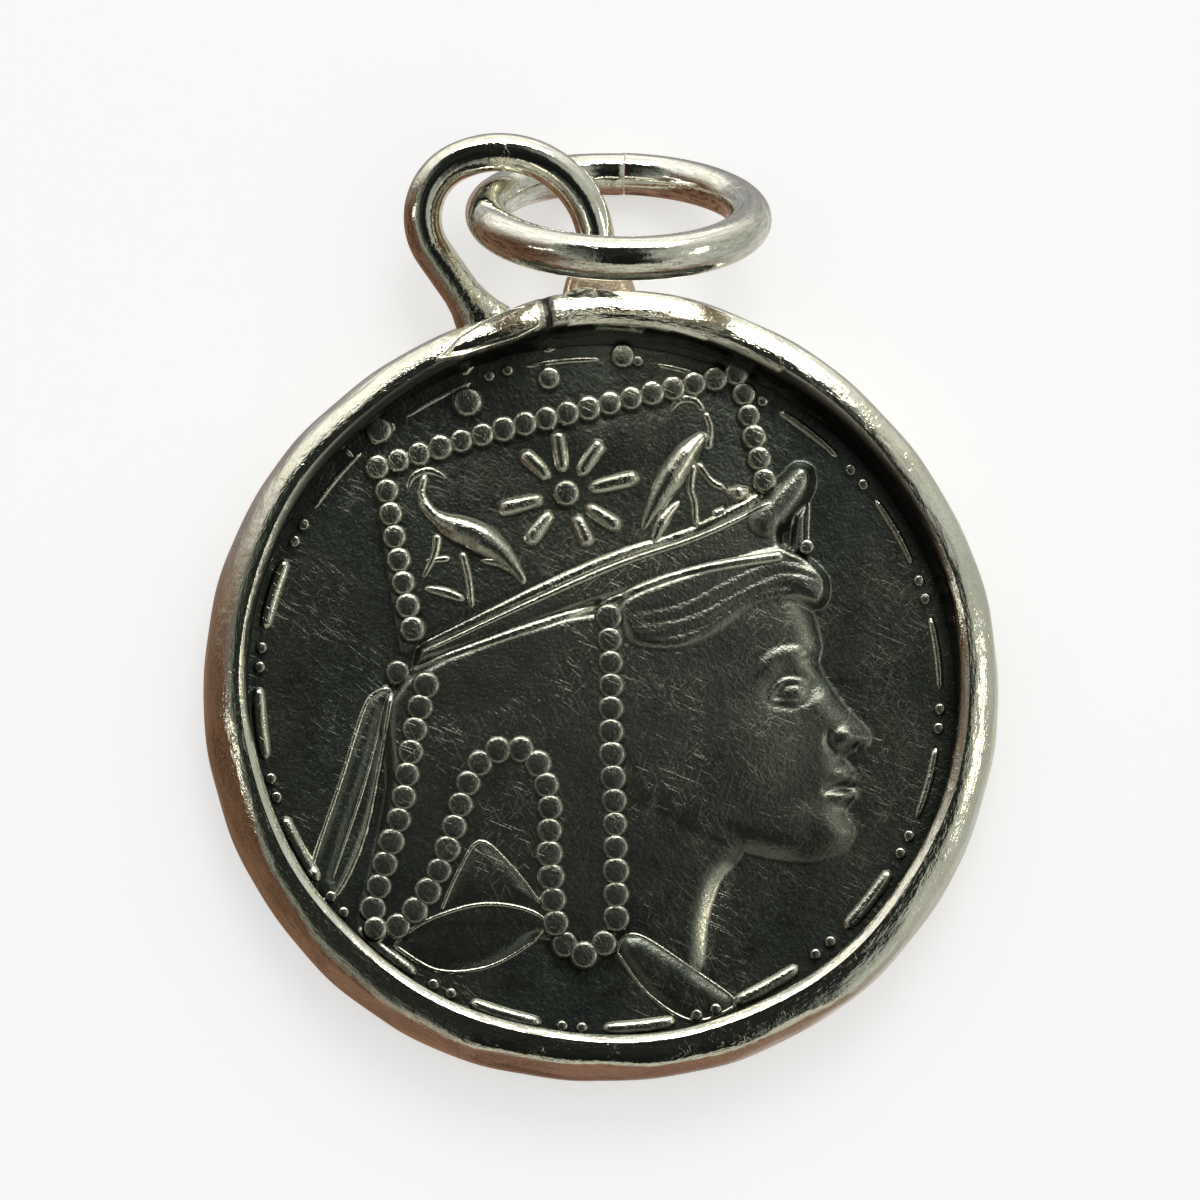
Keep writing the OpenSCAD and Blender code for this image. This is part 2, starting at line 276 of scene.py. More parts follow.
# A plain profile on thirds: hairline, brow, nose base and chin are a third apart.
HAIRLINE = 24
THIRD = 26
BROW = HAIRLINE - THIRD
NOSE = BROW - THIRD
CHIN = NOSE - THIRD
PROFILE = [(56, HAIRLINE), (60, HAIRLINE - 11), (61, BROW + 4), (59.5, BROW - 2), (64, BROW - 13),
           (69.5, NOSE + 4), (67.5, NOSE), (61.5, NOSE - 1.5), (63.5, NOSE - 6), (60.5, NOSE - 9.5),
           (62.5, NOSE - 12), (59, NOSE - 16.5), (60.5, CHIN + 4.5), (56, CHIN - 1), (46, CHIN - 2)]
# The jaw, the back of the cheek under the cap, the throat, and the neck's front, where a highlight is
# painted.
JAW = [(34, CHIN + 2), (22, CHIN + 8), (10, CHIN + 17), (0, CHIN + 26)]
FACE_BACK = [(-4, -10), (2, 18), (9, 26), (52, 32)]
THROAT = [(30, -46), (22, -57), (17, -67), (13, -79), (2, -80), (-9, -72), (-12, -40), (4, -24)]
NECK_FRONT = [(24, -55), (19.5, -61), (16, -69), (13, -78)]
FLAP = [(6, 22), (4.2, 3), (1.2, -14), (-0.8, -30), (-3.4, -47), (-6, -62), (-10, -69.5), (-18, -72),
        (-24, -65), (-45, -60), (-64, -58), (-75, -54), (-69, -38), (-61, -17), (-52, 12)]
HAIR = [(10, 23), (32, 28), (52, 31), (58, 29), (63, 25), (66, 19.5), (65, 14), (61, 11.5), (54, 15),
        (44, 14.5), (33, 9), (23, 6.5), (14, 8), (9, 12)]
LOCKS = [[(63, 22), (52, 26.5), (38, 23), (24, 18.5), (11, 18)],
         [(64.5, 18), (54, 22.5), (42, 20), (27, 15), (11, 14.5)],
         [(62, 14), (54, 18.5), (43, 17.2), (31, 12), (20, 10), (11, 11.5)]]

CAP_PANEL = [(-51, 72), (54, 83), (57, 45), (10, 33), (-51, 18)]
CAP_TOP = [(-49, 70), (-20, 74), (14, 77), (52, 80)]
CAP_LEFT = [(-48, 63), (-48, 45), (-47.5, 24)]
CAP_RIGHT = [(53, 74), (54, 49)]
BAND_HIGH = [(-47, 19), (6, 33.5), (33, 38.5), (53, 45)]
BAND_INNER = [(-44, 17.2), (6, 30.8), (33, 35.8), (54, 42)]
BAND_LOW = [(-49, 13), (4, 22), (28, 26.5), (55, 27)]
# Pellets over the cap: place, and radius in millimetres.
PELLETS = [(-22, 84, 0.42), (-47, 80, 0.38), (1, 87, 0.33), (22, 90, 0.35)]

# The star: its hub, where the rays start, each ray's angle and outer end, and the radii of its stroke.
STAR_AT = (0, 54)
STAR_HUB_D = 0.74
RAY_FROM = 6.0
RAYS = [(88, 18), (47, 18), (4, 20.5), (-43, 17.5), (-77, 16), (-137, 17.5), (-176, 19), (126, 17)]
RAY_SWELL = (0.17, 0.23, 0.25, 0.26, 0.22)

# Raised lines, each with the radii of its tapering stroke in millimetres.
BIRDS = [
    ([(-42, 62.5), (-40, 65.8), (-35.5, 66.8), (-31, 63.8)], (0.05, 0.1, 0.1, 0.04)),
    ([(-36.5, 66), (-38.5, 61), (-37.5, 56), (-34.5, 52)], (0.08, 0.1, 0.14, 0.16)),
    ([(-37, 55), (-33, 51), (-26, 46.5), (-20, 40.5), (-15, 31.5)], (0.12, 0.3, 0.34, 0.22, 0.06)),
    ([(-36, 49), (-38, 43), (-42, 37.5)], (0.12, 0.09, 0.05)),
    ([(-42, 34.5), (-37, 32.5), (-32, 29.5)], (0.07, 0.12, 0.08)),
    ([(-30.5, 43), (-30, 35), (-30.5, 27)], (0.1, 0.09, 0.07)),
    ([(-26, 39.5), (-19, 37), (-15.5, 31)], (0.05, 0.14, 0.05)),
    ([(-40.5, 42), (-34, 41.5)], (0.05, 0.08)),
    ([(32, 72.5), (35, 75.2), (39, 74.6), (41.2, 71)], (0.05, 0.11, 0.1, 0.1)),
    ([(41.2, 71), (42, 66), (40, 60)], (0.1, 0.09, 0.12)),
    ([(40.5, 65), (35, 60.5), (28.5, 53.5), (22, 45.5), (18.5, 40.5)], (0.1, 0.27, 0.32, 0.22, 0.06)),
    ([(30, 47), (25, 43), (20, 36)], (0.06, 0.17, 0.06)),
    ([(35.5, 57), (33.5, 50), (33.8, 46), (32.8, 39)], (0.13, 0.1, 0.1, 0.08)),
    ([(36.5, 57), (39.5, 51), (43, 48.5)], (0.11, 0.09, 0.09)),
    ([(42.5, 48), (46, 46.6), (50, 47)], (0.08, 0.21, 0.09)),
    ([(37.5, 41.5), (42.5, 42.5)], (0.14, 0.14))]
TICKS = [([(-22, 92), (-18.5, 94)], (0.09, 0.05)), ([(-45, 88), (-42, 86.5)], (0.08, 0.04)),
         ([(-57, 76.5), (-55, 74)], (0.08, 0.04)), ([(1, 95), (4, 95)], (0.08, 0.04))]

FLAP_FRONT = [(5, 18), (3, 3), (0, -14), (-2, -30), (-4.5, -47), (-7, -62)]
FLAP_HEM = [(-46, 8), (-50, -1), (-54, -12), (-58, -24), (-63, -34), (-68, -45), (-71, -53),
            (-65, -54.5), (-59, -51), (-51, -42), (-45, -31), (-40, -21), (-34, -14), (-29, -12.5),
            (-23, -14), (-19.5, -20), (-19, -30), (-21, -40), (-22, -51), (-22.5, -63), (-18, -70),
            (-11, -68)]
FRONT_KNOT = [(47, 38.5), (53, 45.5), (58.6, 50), (63.2, 53), (67.6, 51), (67.6, 46), (65.3, 42),
              (62, 38.5), (57, 34.5), (50, 33)]
KNOT_TAIL = [[(59.8, 38), (58.2, 33), (57, 28)], [(64.8, 41.5), (63.2, 35), (61.8, 27.5)]]
KNOT_BEAD = (61.5, 28.5, 0.2)
BACK_KNOT = (-53, 13, 0.33)
RIBBON = [(-55, 9), (-60, 8.5), (-64, 4), (-72, -12), (-85, -38), (-80, -44), (-70, -31), (-62, -11)]
RIBBON_FOLD = [(-58, 5), (-66, -14), (-79, -39)]
LEAF = [(-66, -59), (-57, -54.5), (-43, -52.5), (-32, -55), (-25.5, -60), (-31, -65), (-43, -69),
        (-56, -67.5)]
TRIANGLE = [(-52, -52), (-46, -43), (-39, -36), (-32, -44), (-26, -55), (-39, -51)]
NECK_TAIL = [(-8, -71), (-6, -67.5), (-1, -68), (9, -77), (20, -88), (18, -91), (8, -92), (-2, -83)]
EYE_AT = (50, BROW - 8)

# The border repeats a long reel and two beads: its distance from the middle, how often, where the
# first reel is, how many degrees a reel spans, and the beads' angles from a reel's middle.
BORDER_AT = 91.5
BORDER_UNITS = 16
BORDER_TURN = 244
REEL_SPAN = 12.5
BORDER_BEADS = (9.6, 12.9)
BORDER_BEAD_R = 0.16
REEL_R = 0.16
RIM_R = 0.045


class Face:
    """Heights over the coin's face, in millimetres, at places in hundredths of its radius."""

    def __init__(self, x, y, settings):
        self.x, self.y = x, y
        self.head_rise = settings.head_rise / MM
        self.head_step = settings.head_step / MM
        self.h = FIELD_UNEVEN * lumps(x / FIELD_WAVE, y / FIELD_WAVE, 5)

    def inside(self, outline):
        """Distance to an outline, above 0 inside it."""
        p = np.array(outline, float)
        q = np.roll(p, -1, axis=0)
        near = np.full_like(self.x, 1e9)
        odd = np.zeros(self.x.shape, bool)
        for (ax, ay), (bx, by) in zip(p, q):
            dx, dy = bx - ax, by - ay
            t = np.clip(((self.x - ax) * dx + (self.y - ay) * dy) / (dx * dx + dy * dy), 0, 1)
            near = np.minimum(near, np.hypot(self.x - ax - t * dx, self.y - ay - t * dy))
            if ay != by:
                crosses = (ay > self.y) != (by > self.y)
                odd ^= crosses & (self.x < ax + (self.y - ay) * dx / dy)
        return np.where(odd, near, -near)

    def along(self, path):
        """Distance to a line of points, and how far along it the nearest place is, from 0 to 1."""
        p = np.array(path, float)
        run = np.concatenate([[0], np.cumsum(np.linalg.norm(np.diff(p, axis=0), axis=1))])
        near = np.full_like(self.x, 1e9)
        share = np.zeros_like(self.x)
        for i, ((ax, ay), (bx, by)) in enumerate(zip(p[:-1], p[1:])):
            dx, dy = bx - ax, by - ay
            t = np.clip(((self.x - ax) * dx + (self.y - ay) * dy) / (dx * dx + dy * dy), 0, 1)
            d = np.hypot(self.x - ax - t * dx, self.y - ay - t * dy)
            share = np.where(d < near, (run[i] + t * (run[i + 1] - run[i])) / run[-1], share)
            near = np.minimum(near, d)
        return near, share

    def dome(self):
        """The shallow dome that the head, the cap and the flap share."""
        away = np.hypot(self.x - DOME_AT[0], self.y - DOME_AT[1]) / DOME_REACH
        return self.head_rise - (self.head_rise - self.head_step) * away ** 2

    def plate(self, outline, top, edge):
        """Raises a plate with a rounded edge above what is there already."""
        t = np.clip(self.inside(outline) / edge, 0, 1)
        self.h += np.clip(top - self.h, 0, None) * (1 - (1 - t) ** PLATE_TURN)

    def swell(self, at, radii, rise, turn=0.0):
        """A soft rise, or a hollow where rise is below 0, on an ellipse."""
        c, s = unit(turn)
        dx, dy = self.x - at[0], self.y - at[1]
        t = ((dx * c + dy * s) / radii[0]) ** 2 + ((dy * c - dx * s) / radii[1]) ** 2
        self.h += rise * np.clip(1 - t, 0, 1) ** 2

    def ridge(self, path, width, rise, taper=0.0, sharp=1.2):
        """A rounded line along a path, or a groove where rise is below 0. taper thins both ends."""
        d, share = self.along(path)
        ends = 1 - taper * (2 * np.abs(share - 0.5)) ** 3
        t = np.clip(1 - (d * U / (width / 2 * np.maximum(ends, 0.05))) ** 2, 0, 1)
        self.h += rise * ends * t ** sharp

    def ribbon(self):
        self.plate(curve(RIBBON, True), 0.11, 3)
        self.ridge(curve(RIBBON_FOLD), 0.5, -0.05, 0.3)

    def cap(self):
        self.plate(CAP_PANEL, self.dome() - CAP_SINK, 4)

    def head(self):
        self.plate(curve(THROAT, True), self.dome() - 0.07, 6)
        self.plate(curve(PROFILE + JAW + FACE_BACK, True, 8), self.dome(), 8)
        # Cheek, forehead, brow and chin.
        self.swell((36, -24), (19, 17), 0.06)
        self.swell((46, 8), (16, 10), 0.03)
        self.swell((55, CHIN + 6), (8, 6.5), 0.06)
        self.swell((44, CHIN + 8), (14, 8), 0.04, 10)
        self.ridge(curve([(42, BROW - 2), (48, BROW + 1.5), (57, BROW + 2)]), 0.6, 0.07, 0.7)
        # Eye: a socket, the ball, two lids and the iris.
        self.swell((51, EYE_AT[1] + 0.5), (11, 6.5), -0.12, 5)
        self.swell((50.5, EYE_AT[1]), (5.6, 3.9), 0.13, 8)
        ex, ey = EYE_AT
        lid = curve([(ex - 6.2, ey - 0.8), (ex - 1.5, ey + 3.2), (ex + 4.6, ey + 2.2)])
        self.ridge(lid, 0.22, 0.07, 0.5)
        self.ridge(curve([(ex - 5.6, ey - 1.4), (ex, ey - 3), (ex + 4.2, ey - 2)]), 0.2, 0.04, 0.6)
        self.swell((ex + 2.4, ey + 0.3), (1.9, 2.3), 0.03)
        self.swell((ex + 2.6, ey + 0.3), (0.9, 1.1), -0.03)
        # Nose: the wing, the nostril and the fold behind it.
        self.swell((62.2, NOSE + 3.2), (4.6, 4.0), 0.1)
        self.swell((65.4, NOSE + 0.9), (1.9, 1.1), -0.08, 20)
        fold = curve([(58.2, NOSE + 6.2), (57.3, NOSE + 2.5), (58.9, NOSE - 0.6)])
        self.ridge(fold, 0.3, -0.05, 0.6)
        # Lips and the line between them.
        self.swell((60.2, NOSE - 7.2), (5.4, 2.6), 0.06, -8)
        self.swell((59.6, NOSE - 12), (5.0, 2.7), 0.07, 6)
        self.ridge(curve([(54.2, NOSE - 9.8), (58, NOSE - 9.2), (62, NOSE - 9.4)]), 0.24, -0.07, 0.5)
        self.swell((54.2, NOSE - 9.9), (1.8, 1.8), -0.03)

    def hair(self):
        """Swept back in a roll under the band, with a full front."""
        self.plate(curve(HAIR, True), self.dome() + 0.11, 3)
        self.swell((60, 18.5), (7, 7), 0.06)
        for path in LOCKS:
            self.ridge(curve(path), 0.24, -0.022, 0.6)

    def band(self):
        self.plate(BAND_HIGH + [(56, 36)] + BAND_LOW[::-1], self.dome() + 0.05, 3)
        self.plate(curve(FRONT_KNOT, True, 5), self.dome() + 0.2, 5)
        self.plate(KNOT_TAIL[0] + KNOT_TAIL[1][::-1], self.dome() + 0.04, 2)

    def flap(self):
        self.plate(curve(FLAP, True, 4), self.dome() + 0.05, 4)
        self.plate(curve(LEAF, True), self.dome() + 0.03, 5)
        self.plate(TRIANGLE, self.dome() + 0.1, 4)
        self.plate(NECK_TAIL, self.dome() + 0.03, 4)

    def strike(self):
        self.ribbon()
        self.cap()
        self.head()
        self.hair()
        self.band()
        self.flap()
        return self.h


def surface(points, settings):
    """The struck surface's heights at some places."""
    p = np.array(points, float)
    return Face(p[:, 0], p[:, 1], settings).strike()


class PENDANT_OT_coin(bpy.types.Operator):
    """Strike the coin: a fine sheet raised into the design, with a turned edge and a plain back"""
    bl_idname = "pendant.coin"
    bl_label = "Strike Coin"

    CELLS = 335
    QUICK_CELLS = 170
    # The sheet ends this far inside the coin's edge, and the edge is rounded by this much.
    SHEET_IN = 0.2
    EDGE_R = 0.1
    # The back's low rim: the two shares of the radius that its step lies between, and its depth.
    BACK_STEP = (0.93, 0.92)
    BACK_DEEP = 0.06
    # The design fades out before the edge: where it ends, and over how much.
    PLAIN_FROM = 0.25
    FADE = 0.2
    SMOOTH_UNDER = 75

    def execute(self, context):
        settings = context.scene.pendant_coin
        cells = self.CELLS
        sheet_r = COIN_R - self.SHEET_IN
        clear_selection()
        bpy.ops.mesh.primitive_grid_add(x_subdivisions=cells, y_subdivisions=cells,
                                        size=2 * sheet_r * MM)
        coin = context.object
        coin.name = coin.data.name = "coin_struck"
        co = points_of(coin)
        outside = np.hypot(co[:, 0], co[:, 1]) > (sheet_r - 0.01) * MM
        bpy.ops.object.mode_set(mode="EDIT")
        bpy.ops.mesh.select_mode(type="VERT")
        bpy.ops.mesh.select_all(action="DESELECT")
        leave_edit()
        coin.data.vertices.foreach_set("select", outside)
        bpy.ops.object.mode_set(mode="EDIT")
        bpy.ops.mesh.delete(type="VERT")
        # Turn the sheet's edge down the coin's side and in over its back.
        for radius, level in ((COIN_R - self.EDGE_R, FACE), (COIN_R, FACE - self.EDGE_R),
                              (COIN_R, COIN_BACK + self.EDGE_R), (COIN_R - self.EDGE_R, COIN_BACK),
                              (COIN_R * self.BACK_STEP[0], COIN_BACK),
                              (COIN_R * self.BACK_STEP[1], COIN_BACK + self.BACK_DEEP)):
            bpy.ops.mesh.select_all(action="DESELECT")
            bpy.ops.mesh.select_non_manifold()
            bpy.ops.mesh.extrude_region()
            leave_edit()
            co = points_of(coin)
            chosen = np.zeros(len(co), bool)
            coin.data.vertices.foreach_get("select", chosen)
            way = co[chosen, :2] / np.linalg.norm(co[chosen, :2], axis=1)[:, None]
            co[chosen, :2] = way * radius * MM
            co[chosen, 2] = (level - FACE) * MM
            move_points(coin, co)
            bpy.ops.object.mode_set(mode="EDIT")
        bpy.ops.mesh.select_all(action="DESELECT")
        bpy.ops.mesh.select_non_manifold()
        bpy.ops.mesh.edge_face_add()
        leave_edit()
        co = points_of(coin)
        r = np.hypot(co[:, 0], co[:, 1]) / MM
        top = (co[:, 2] > -1e-6) & (r < COIN_R - 0.15)
        face = Face(co[top, 0] / MM / U, co[top, 1] / MM / U, settings)
        height = face.strike() * ease((COIN_R - self.PLAIN_FROM - r[top]) / self.FADE)
        co[top, 2] = height * MM
        co[:, 2] += FACE * MM
        move_points(coin, co)
        # The highest ground is rubbed a little, and a highlight is painted down the neck's front in the
        # same mask.
        wear_and_highlight = np.zeros(len(co))
        near = face.along(NECK_FRONT)[0]
        wear_and_highlight[top] = np.maximum(0.35 * ease((height - 0.1) / 0.45), 0.9 * ease(1.2 - near / 3.4))
        keep_mask(coin, "wear_and_highlight", wear_and_highlight)
        edit()
        bpy.ops.mesh.normals_make_consistent(inside=False)
        leave_edit()
        bpy.ops.object.shade_smooth_by_angle(angle=math.radians(self.SMOOTH_UNDER))
        place(coin, "coin", coin_metal(settings))
        return {"FINISHED"}


class PENDANT_OT_beads(bpy.types.Operator):
    """Set the beads: one bead is turned, then copied along the cap's edges, the flap and the border"""
    bl_idname = "pendant.beads"
    bl_label = "Set Beads"

    # The turned bead's outline: share of its radius, share of its rise.
    TURNED = [(0.0, 1.0), (0.5, 0.985), (0.7, 0.93), (0.82, 0.82), (0.91, 0.6), (0.97, 0.3),
              (1.01, -0.1), (1.03, -1.4)]
    STEPS = 16
    # From one bead's middle to the next, as a share of its diameter, and how sizes and places vary.
    PITCH = 0.8
    SIZES = (0.94, 1.03)
    ASIDE = 0.25
    # Where a bead feels for the ground under it, as a share of its radius.
    FEEL = 0.55
    # The flap's beads are lower and less bright than the cap's, and lie inside the border.
    FLAP_RISE = 0.6
    FLAP_WEAR = 0.35
    CAP_WEAR = 0.75
    FLAP_REACH = 86
    SMOOTH_UNDER = 60

    def execute(self, context):
        settings = context.scene.pendant_coin
        bead_r = settings.bead_d / 2 / MM
        pitch = self.PITCH * settings.bead_d / MM / U
        rng = np.random.default_rng(11)
        beads = [(x, y, bead_r * rng.uniform(*self.SIZES))
                 for path in (CAP_TOP, CAP_LEFT, CAP_RIGHT, FLAP_FRONT, FLAP_HEM)
                 for x, y in spread(curve(path), pitch) + rng.uniform(-self.ASIDE, self.ASIDE, 2)]
        beads += PELLETS + [(*STAR_AT, STAR_HUB_D / 2), BACK_KNOT, KNOT_BEAD]
        beads += [(*(BORDER_AT * unit(BORDER_TURN + FULL_TURN * k / BORDER_UNITS + a)), BORDER_BEAD_R)
                  for k in range(BORDER_UNITS) for a in BORDER_BEADS]
        # A bead stands on the highest ground under it.
        near = [(0, 0)] + [tuple(self.FEEL * bead_r / U * unit(60 * k)) for k in range(6)]
        levels = np.max([surface([(x + dx, y + dy) for x, y, _ in beads], settings)
                         for dx, dy in near], axis=0)
        bead = self.turn_bead()
        copies = []
        for (x, y, r), level in zip(beads, levels):
            each = bead.copy()
            each.data = bead.data.copy()
            rise = settings.bead_rise / MM * (r / bead_r) ** 0.5
            if self.on_flap(x, y):
                rise *= self.FLAP_RISE
            co = points_of(each) * np.array([r, r, rise]) + np.array([x * U, y * U, FACE + level])
            move_points(each, co * MM)
            context.scene.collection.objects.link(each)
            copies.append(each)
        clear_selection()
        bpy.data.objects.remove(bead)
        for each in copies:
            each.select_set(True)
        context.view_layer.objects.active = copies[0]
        bpy.ops.object.join()
        strings = context.object
        strings.name = strings.data.name = "coin_beads"
        flap = self.on_flap(*(points_of(strings)[:, :2] / MM / U).T)
        keep_mask(strings, "wear_and_highlight", np.where(flap, self.FLAP_WEAR, self.CAP_WEAR))
        bpy.ops.object.shade_smooth_by_angle(angle=math.radians(self.SMOOTH_UNDER))
        place(strings, "coin", bpy.data.materials["oxidised_silver"])
        return {"FINISHED"}

    def on_flap(self, x, y):
        """Whether a place is on the flap, which is rubbed down more than the cap."""
        return (y < HAIRLINE - 2) & (x * x + y * y < self.FLAP_REACH ** 2)

    def turn_bead(self):
        """One bead of radius 1 and rise 1, as plain numbers."""
        clear_selection()
        bpy.ops.mesh.primitive_circle_add(vertices=len(self.TURNED), radius=1)
        bead = bpy.context.object
        move_points(bead, [(x, 0, z) for x, z in self.TURNED])
        edit("DESELECT")
        leave_edit()
        ends = {0, len(self.TURNED) - 1}
        for edge in bead.data.edges:
            edge.select = set(edge.vertices) == ends
        bpy.ops.object.mode_set(mode="EDIT")
        bpy.ops.mesh.select_mode(type="EDGE")
        bpy.ops.mesh.delete(type="EDGE")
        bpy.ops.mesh.select_mode(type="VERT")
        bpy.ops.mesh.select_all(action="SELECT")
        spin(self.STEPS, FULL_TURN)
        return finish_shell(bead, merge=1e-3, angle=self.SMOOTH_UNDER)


class PENDANT_OT_lines(bpy.types.Operator):
    """Draw the raised lines: tapering strokes for the band, the star, the birds and every rim"""
    bl_idname = "pendant.lines"
    bl_label = "Draw Lines"

    # How much of a stroke's radius stands above the surface.
    PROUD = 0.7
    # Every stroke is drawn this much bolder than its own radii, but for the rays.
    BOLD = 1.35
    # A ray runs a little past its outer end, so its tip isn't cut short.
    RAY_PAST = 0.3
    # What is left of a reel's radius at the right, top, left and bottom: the border is rubbed down
    # at the top and on the right.
    RUBBED = (0.6, 0.42, 1.0, 1.0)
    REEL_SWELL = (0.8, 1.0, 1.0, 1.0, 0.8)
    # Space between a stroke's points, in hundredths of the coin's radius.
    STRIDE = 0.9

    def execute(self, context):
        settings = context.scene.pendant_coin
        w = settings.line_w / 2 / MM
        strokes = [(BAND_HIGH, (0.6 * w, 1.3 * w, 1.35 * w, 1.3 * w)),
                   (BAND_INNER, (0.3 * w, 0.6 * w, 0.4 * w)),
                   (BAND_LOW, (0.7 * w, w, w, 0.9 * w))]
        strokes += [(path, (1.4 * RIM_R, 1.2 * RIM_R)) for path in KNOT_TAIL]
        strokes += BIRDS + TICKS
        for angle, reach in RAYS:
            out = unit(angle)
            strokes.append(([STAR_AT + out * RAY_FROM, STAR_AT + out * (reach + self.RAY_PAST)],
                            tuple(r / self.BOLD for r in RAY_SWELL)))
        strokes += [(outline + outline[:1], (RIM_R, RIM_R)) for outline in (LEAF, NECK_TAIL)]
        strokes.append((RIBBON + RIBBON[:1], (1.4 * RIM_R, 1.2 * RIM_R, 1.6 * RIM_R, 1.4 * RIM_R)))
        strokes.append((TRIANGLE[:5], (RIM_R, RIM_R)))
        strokes.append((RIBBON_FOLD, (0.5 * RIM_R, RIM_R, 0.5 * RIM_R)))
        for k in range(BORDER_UNITS):
            turn = BORDER_TURN + FULL_TURN * k / BORDER_UNITS
            left = self.RUBBED[int(turn + 45) % 360 // 90]
            arc = np.linspace(-REEL_SPAN / 2, REEL_SPAN / 2, len(self.REEL_SWELL))
            strokes.append(([BORDER_AT * unit(turn + a) for a in arc],
                            tuple(left * REEL_R * share for share in self.REEL_SWELL)))
        data = bpy.data.curves.new("coin_lines", "CURVE")
        data.dimensions = "3D"
        data.bevel_depth = MM
        data.bevel_resolution = 3
        data.use_fill_caps = True
        for path, radii in strokes:
            self.stroke(data, np.array(path, float), radii, settings)
        lines = bpy.data.objects.new("coin_lines", data)
        context.scene.collection.objects.link(lines)
        clear_selection()
        lines.select_set(True)
        context.view_layer.objects.active = lines
        bpy.ops.object.convert(target="MESH")
        lines = context.object
        finish_shell(lines, merge=1e-8, angle=50)
        keep_mask(lines, "wear_and_highlight", np.ones(len(lines.data.vertices)))
        place(lines, "coin", bpy.data.materials["oxidised_silver"])
        return {"FINISHED"}

    def stroke(self, data, path, radii, settings):
        """Adds one stroke that swells and tapers along its path, partly sunk in the surface."""
        if len(path) > 2:
            path = curve(path, steps=5)
        path = spread(path, self.STRIDE)
        share = np.linspace(0, 1, len(path))
        r = self.BOLD * np.interp(share, np.linspace(0, 1, len(radii)), radii)
        r *= np.sqrt(np.clip(np.minimum(share, 1 - share) * len(path) / 1.4 + 0.15, 0, 1))
        level = surface(path, settings) + FACE + r * (self.PROUD - 1)
        spline = data.splines.new("POLY")
        spline.points.add(len(path) - 1)
        for point, (x, y), z, radius in zip(spline.points, path * U, level, r):
            point.co = (x * MM, y * MM, z * MM, 1)
            point.radius = radius


# The frame's section and its hand-formed unevenness.
def arc_points(centre, radius, start, end, count):
    """Places along an arc, its two ends included."""
    return [np.array(centre) + radius * unit(a) for a in np.linspace(start, end, count)]


def bezel_section(settings):
    """The frame's section: x is the distance from the axis, z the height, in millimetres."""
    swell, crest_r = settings.side_swell / MM, settings.crest_r / MM
    middle = FRAME_H / 2
    side_r = (middle ** 2 + swell ** 2) / (2 * swell)
    back_a = math.degrees(math.asin(middle / side_r))
    # From the middle up, the side is a quarter of an ellipse that ends on the crest.
    lean = settings.wall / MM + crest_r
    open_r = COIN_R - settings.lip_over / MM
    seat_r = FRAME_R - settings.wall / MM
    seat_low, seat_high = COIN_BACK - SEAT_GAP, FACE + SEAT_GAP
    points = arc_points((FRAME_R - side_r, middle), side_r, -back_a + 2, 0, 9)
    points += [np.array([FRAME_R - lean + lean * c, middle + middle * rise])
               for c, rise in map(unit, range(8, 97, 8))]
    # The lip's inside, how far outside the opening and how far below the crest.
    points += [np.array([open_r + out, FRAME_H - down])
               for out, down in ((0.25, 0.012), (0.15, 0.068), (0.05, 0.14), (0.01, 0.21), (0, 0.32))]
    points += [np.array(p) for p in (
        (open_r, FACE + 0.3), (open_r + 0.02, seat_high), (seat_r, seat_high), (seat_r, seat_low),
        (open_r + 0.03, seat_low), (open_r, seat_low - 0.03), (open_r + 0.03, 0.04),
        (open_r + 0.08, 0.0))]
    return np.array(points)


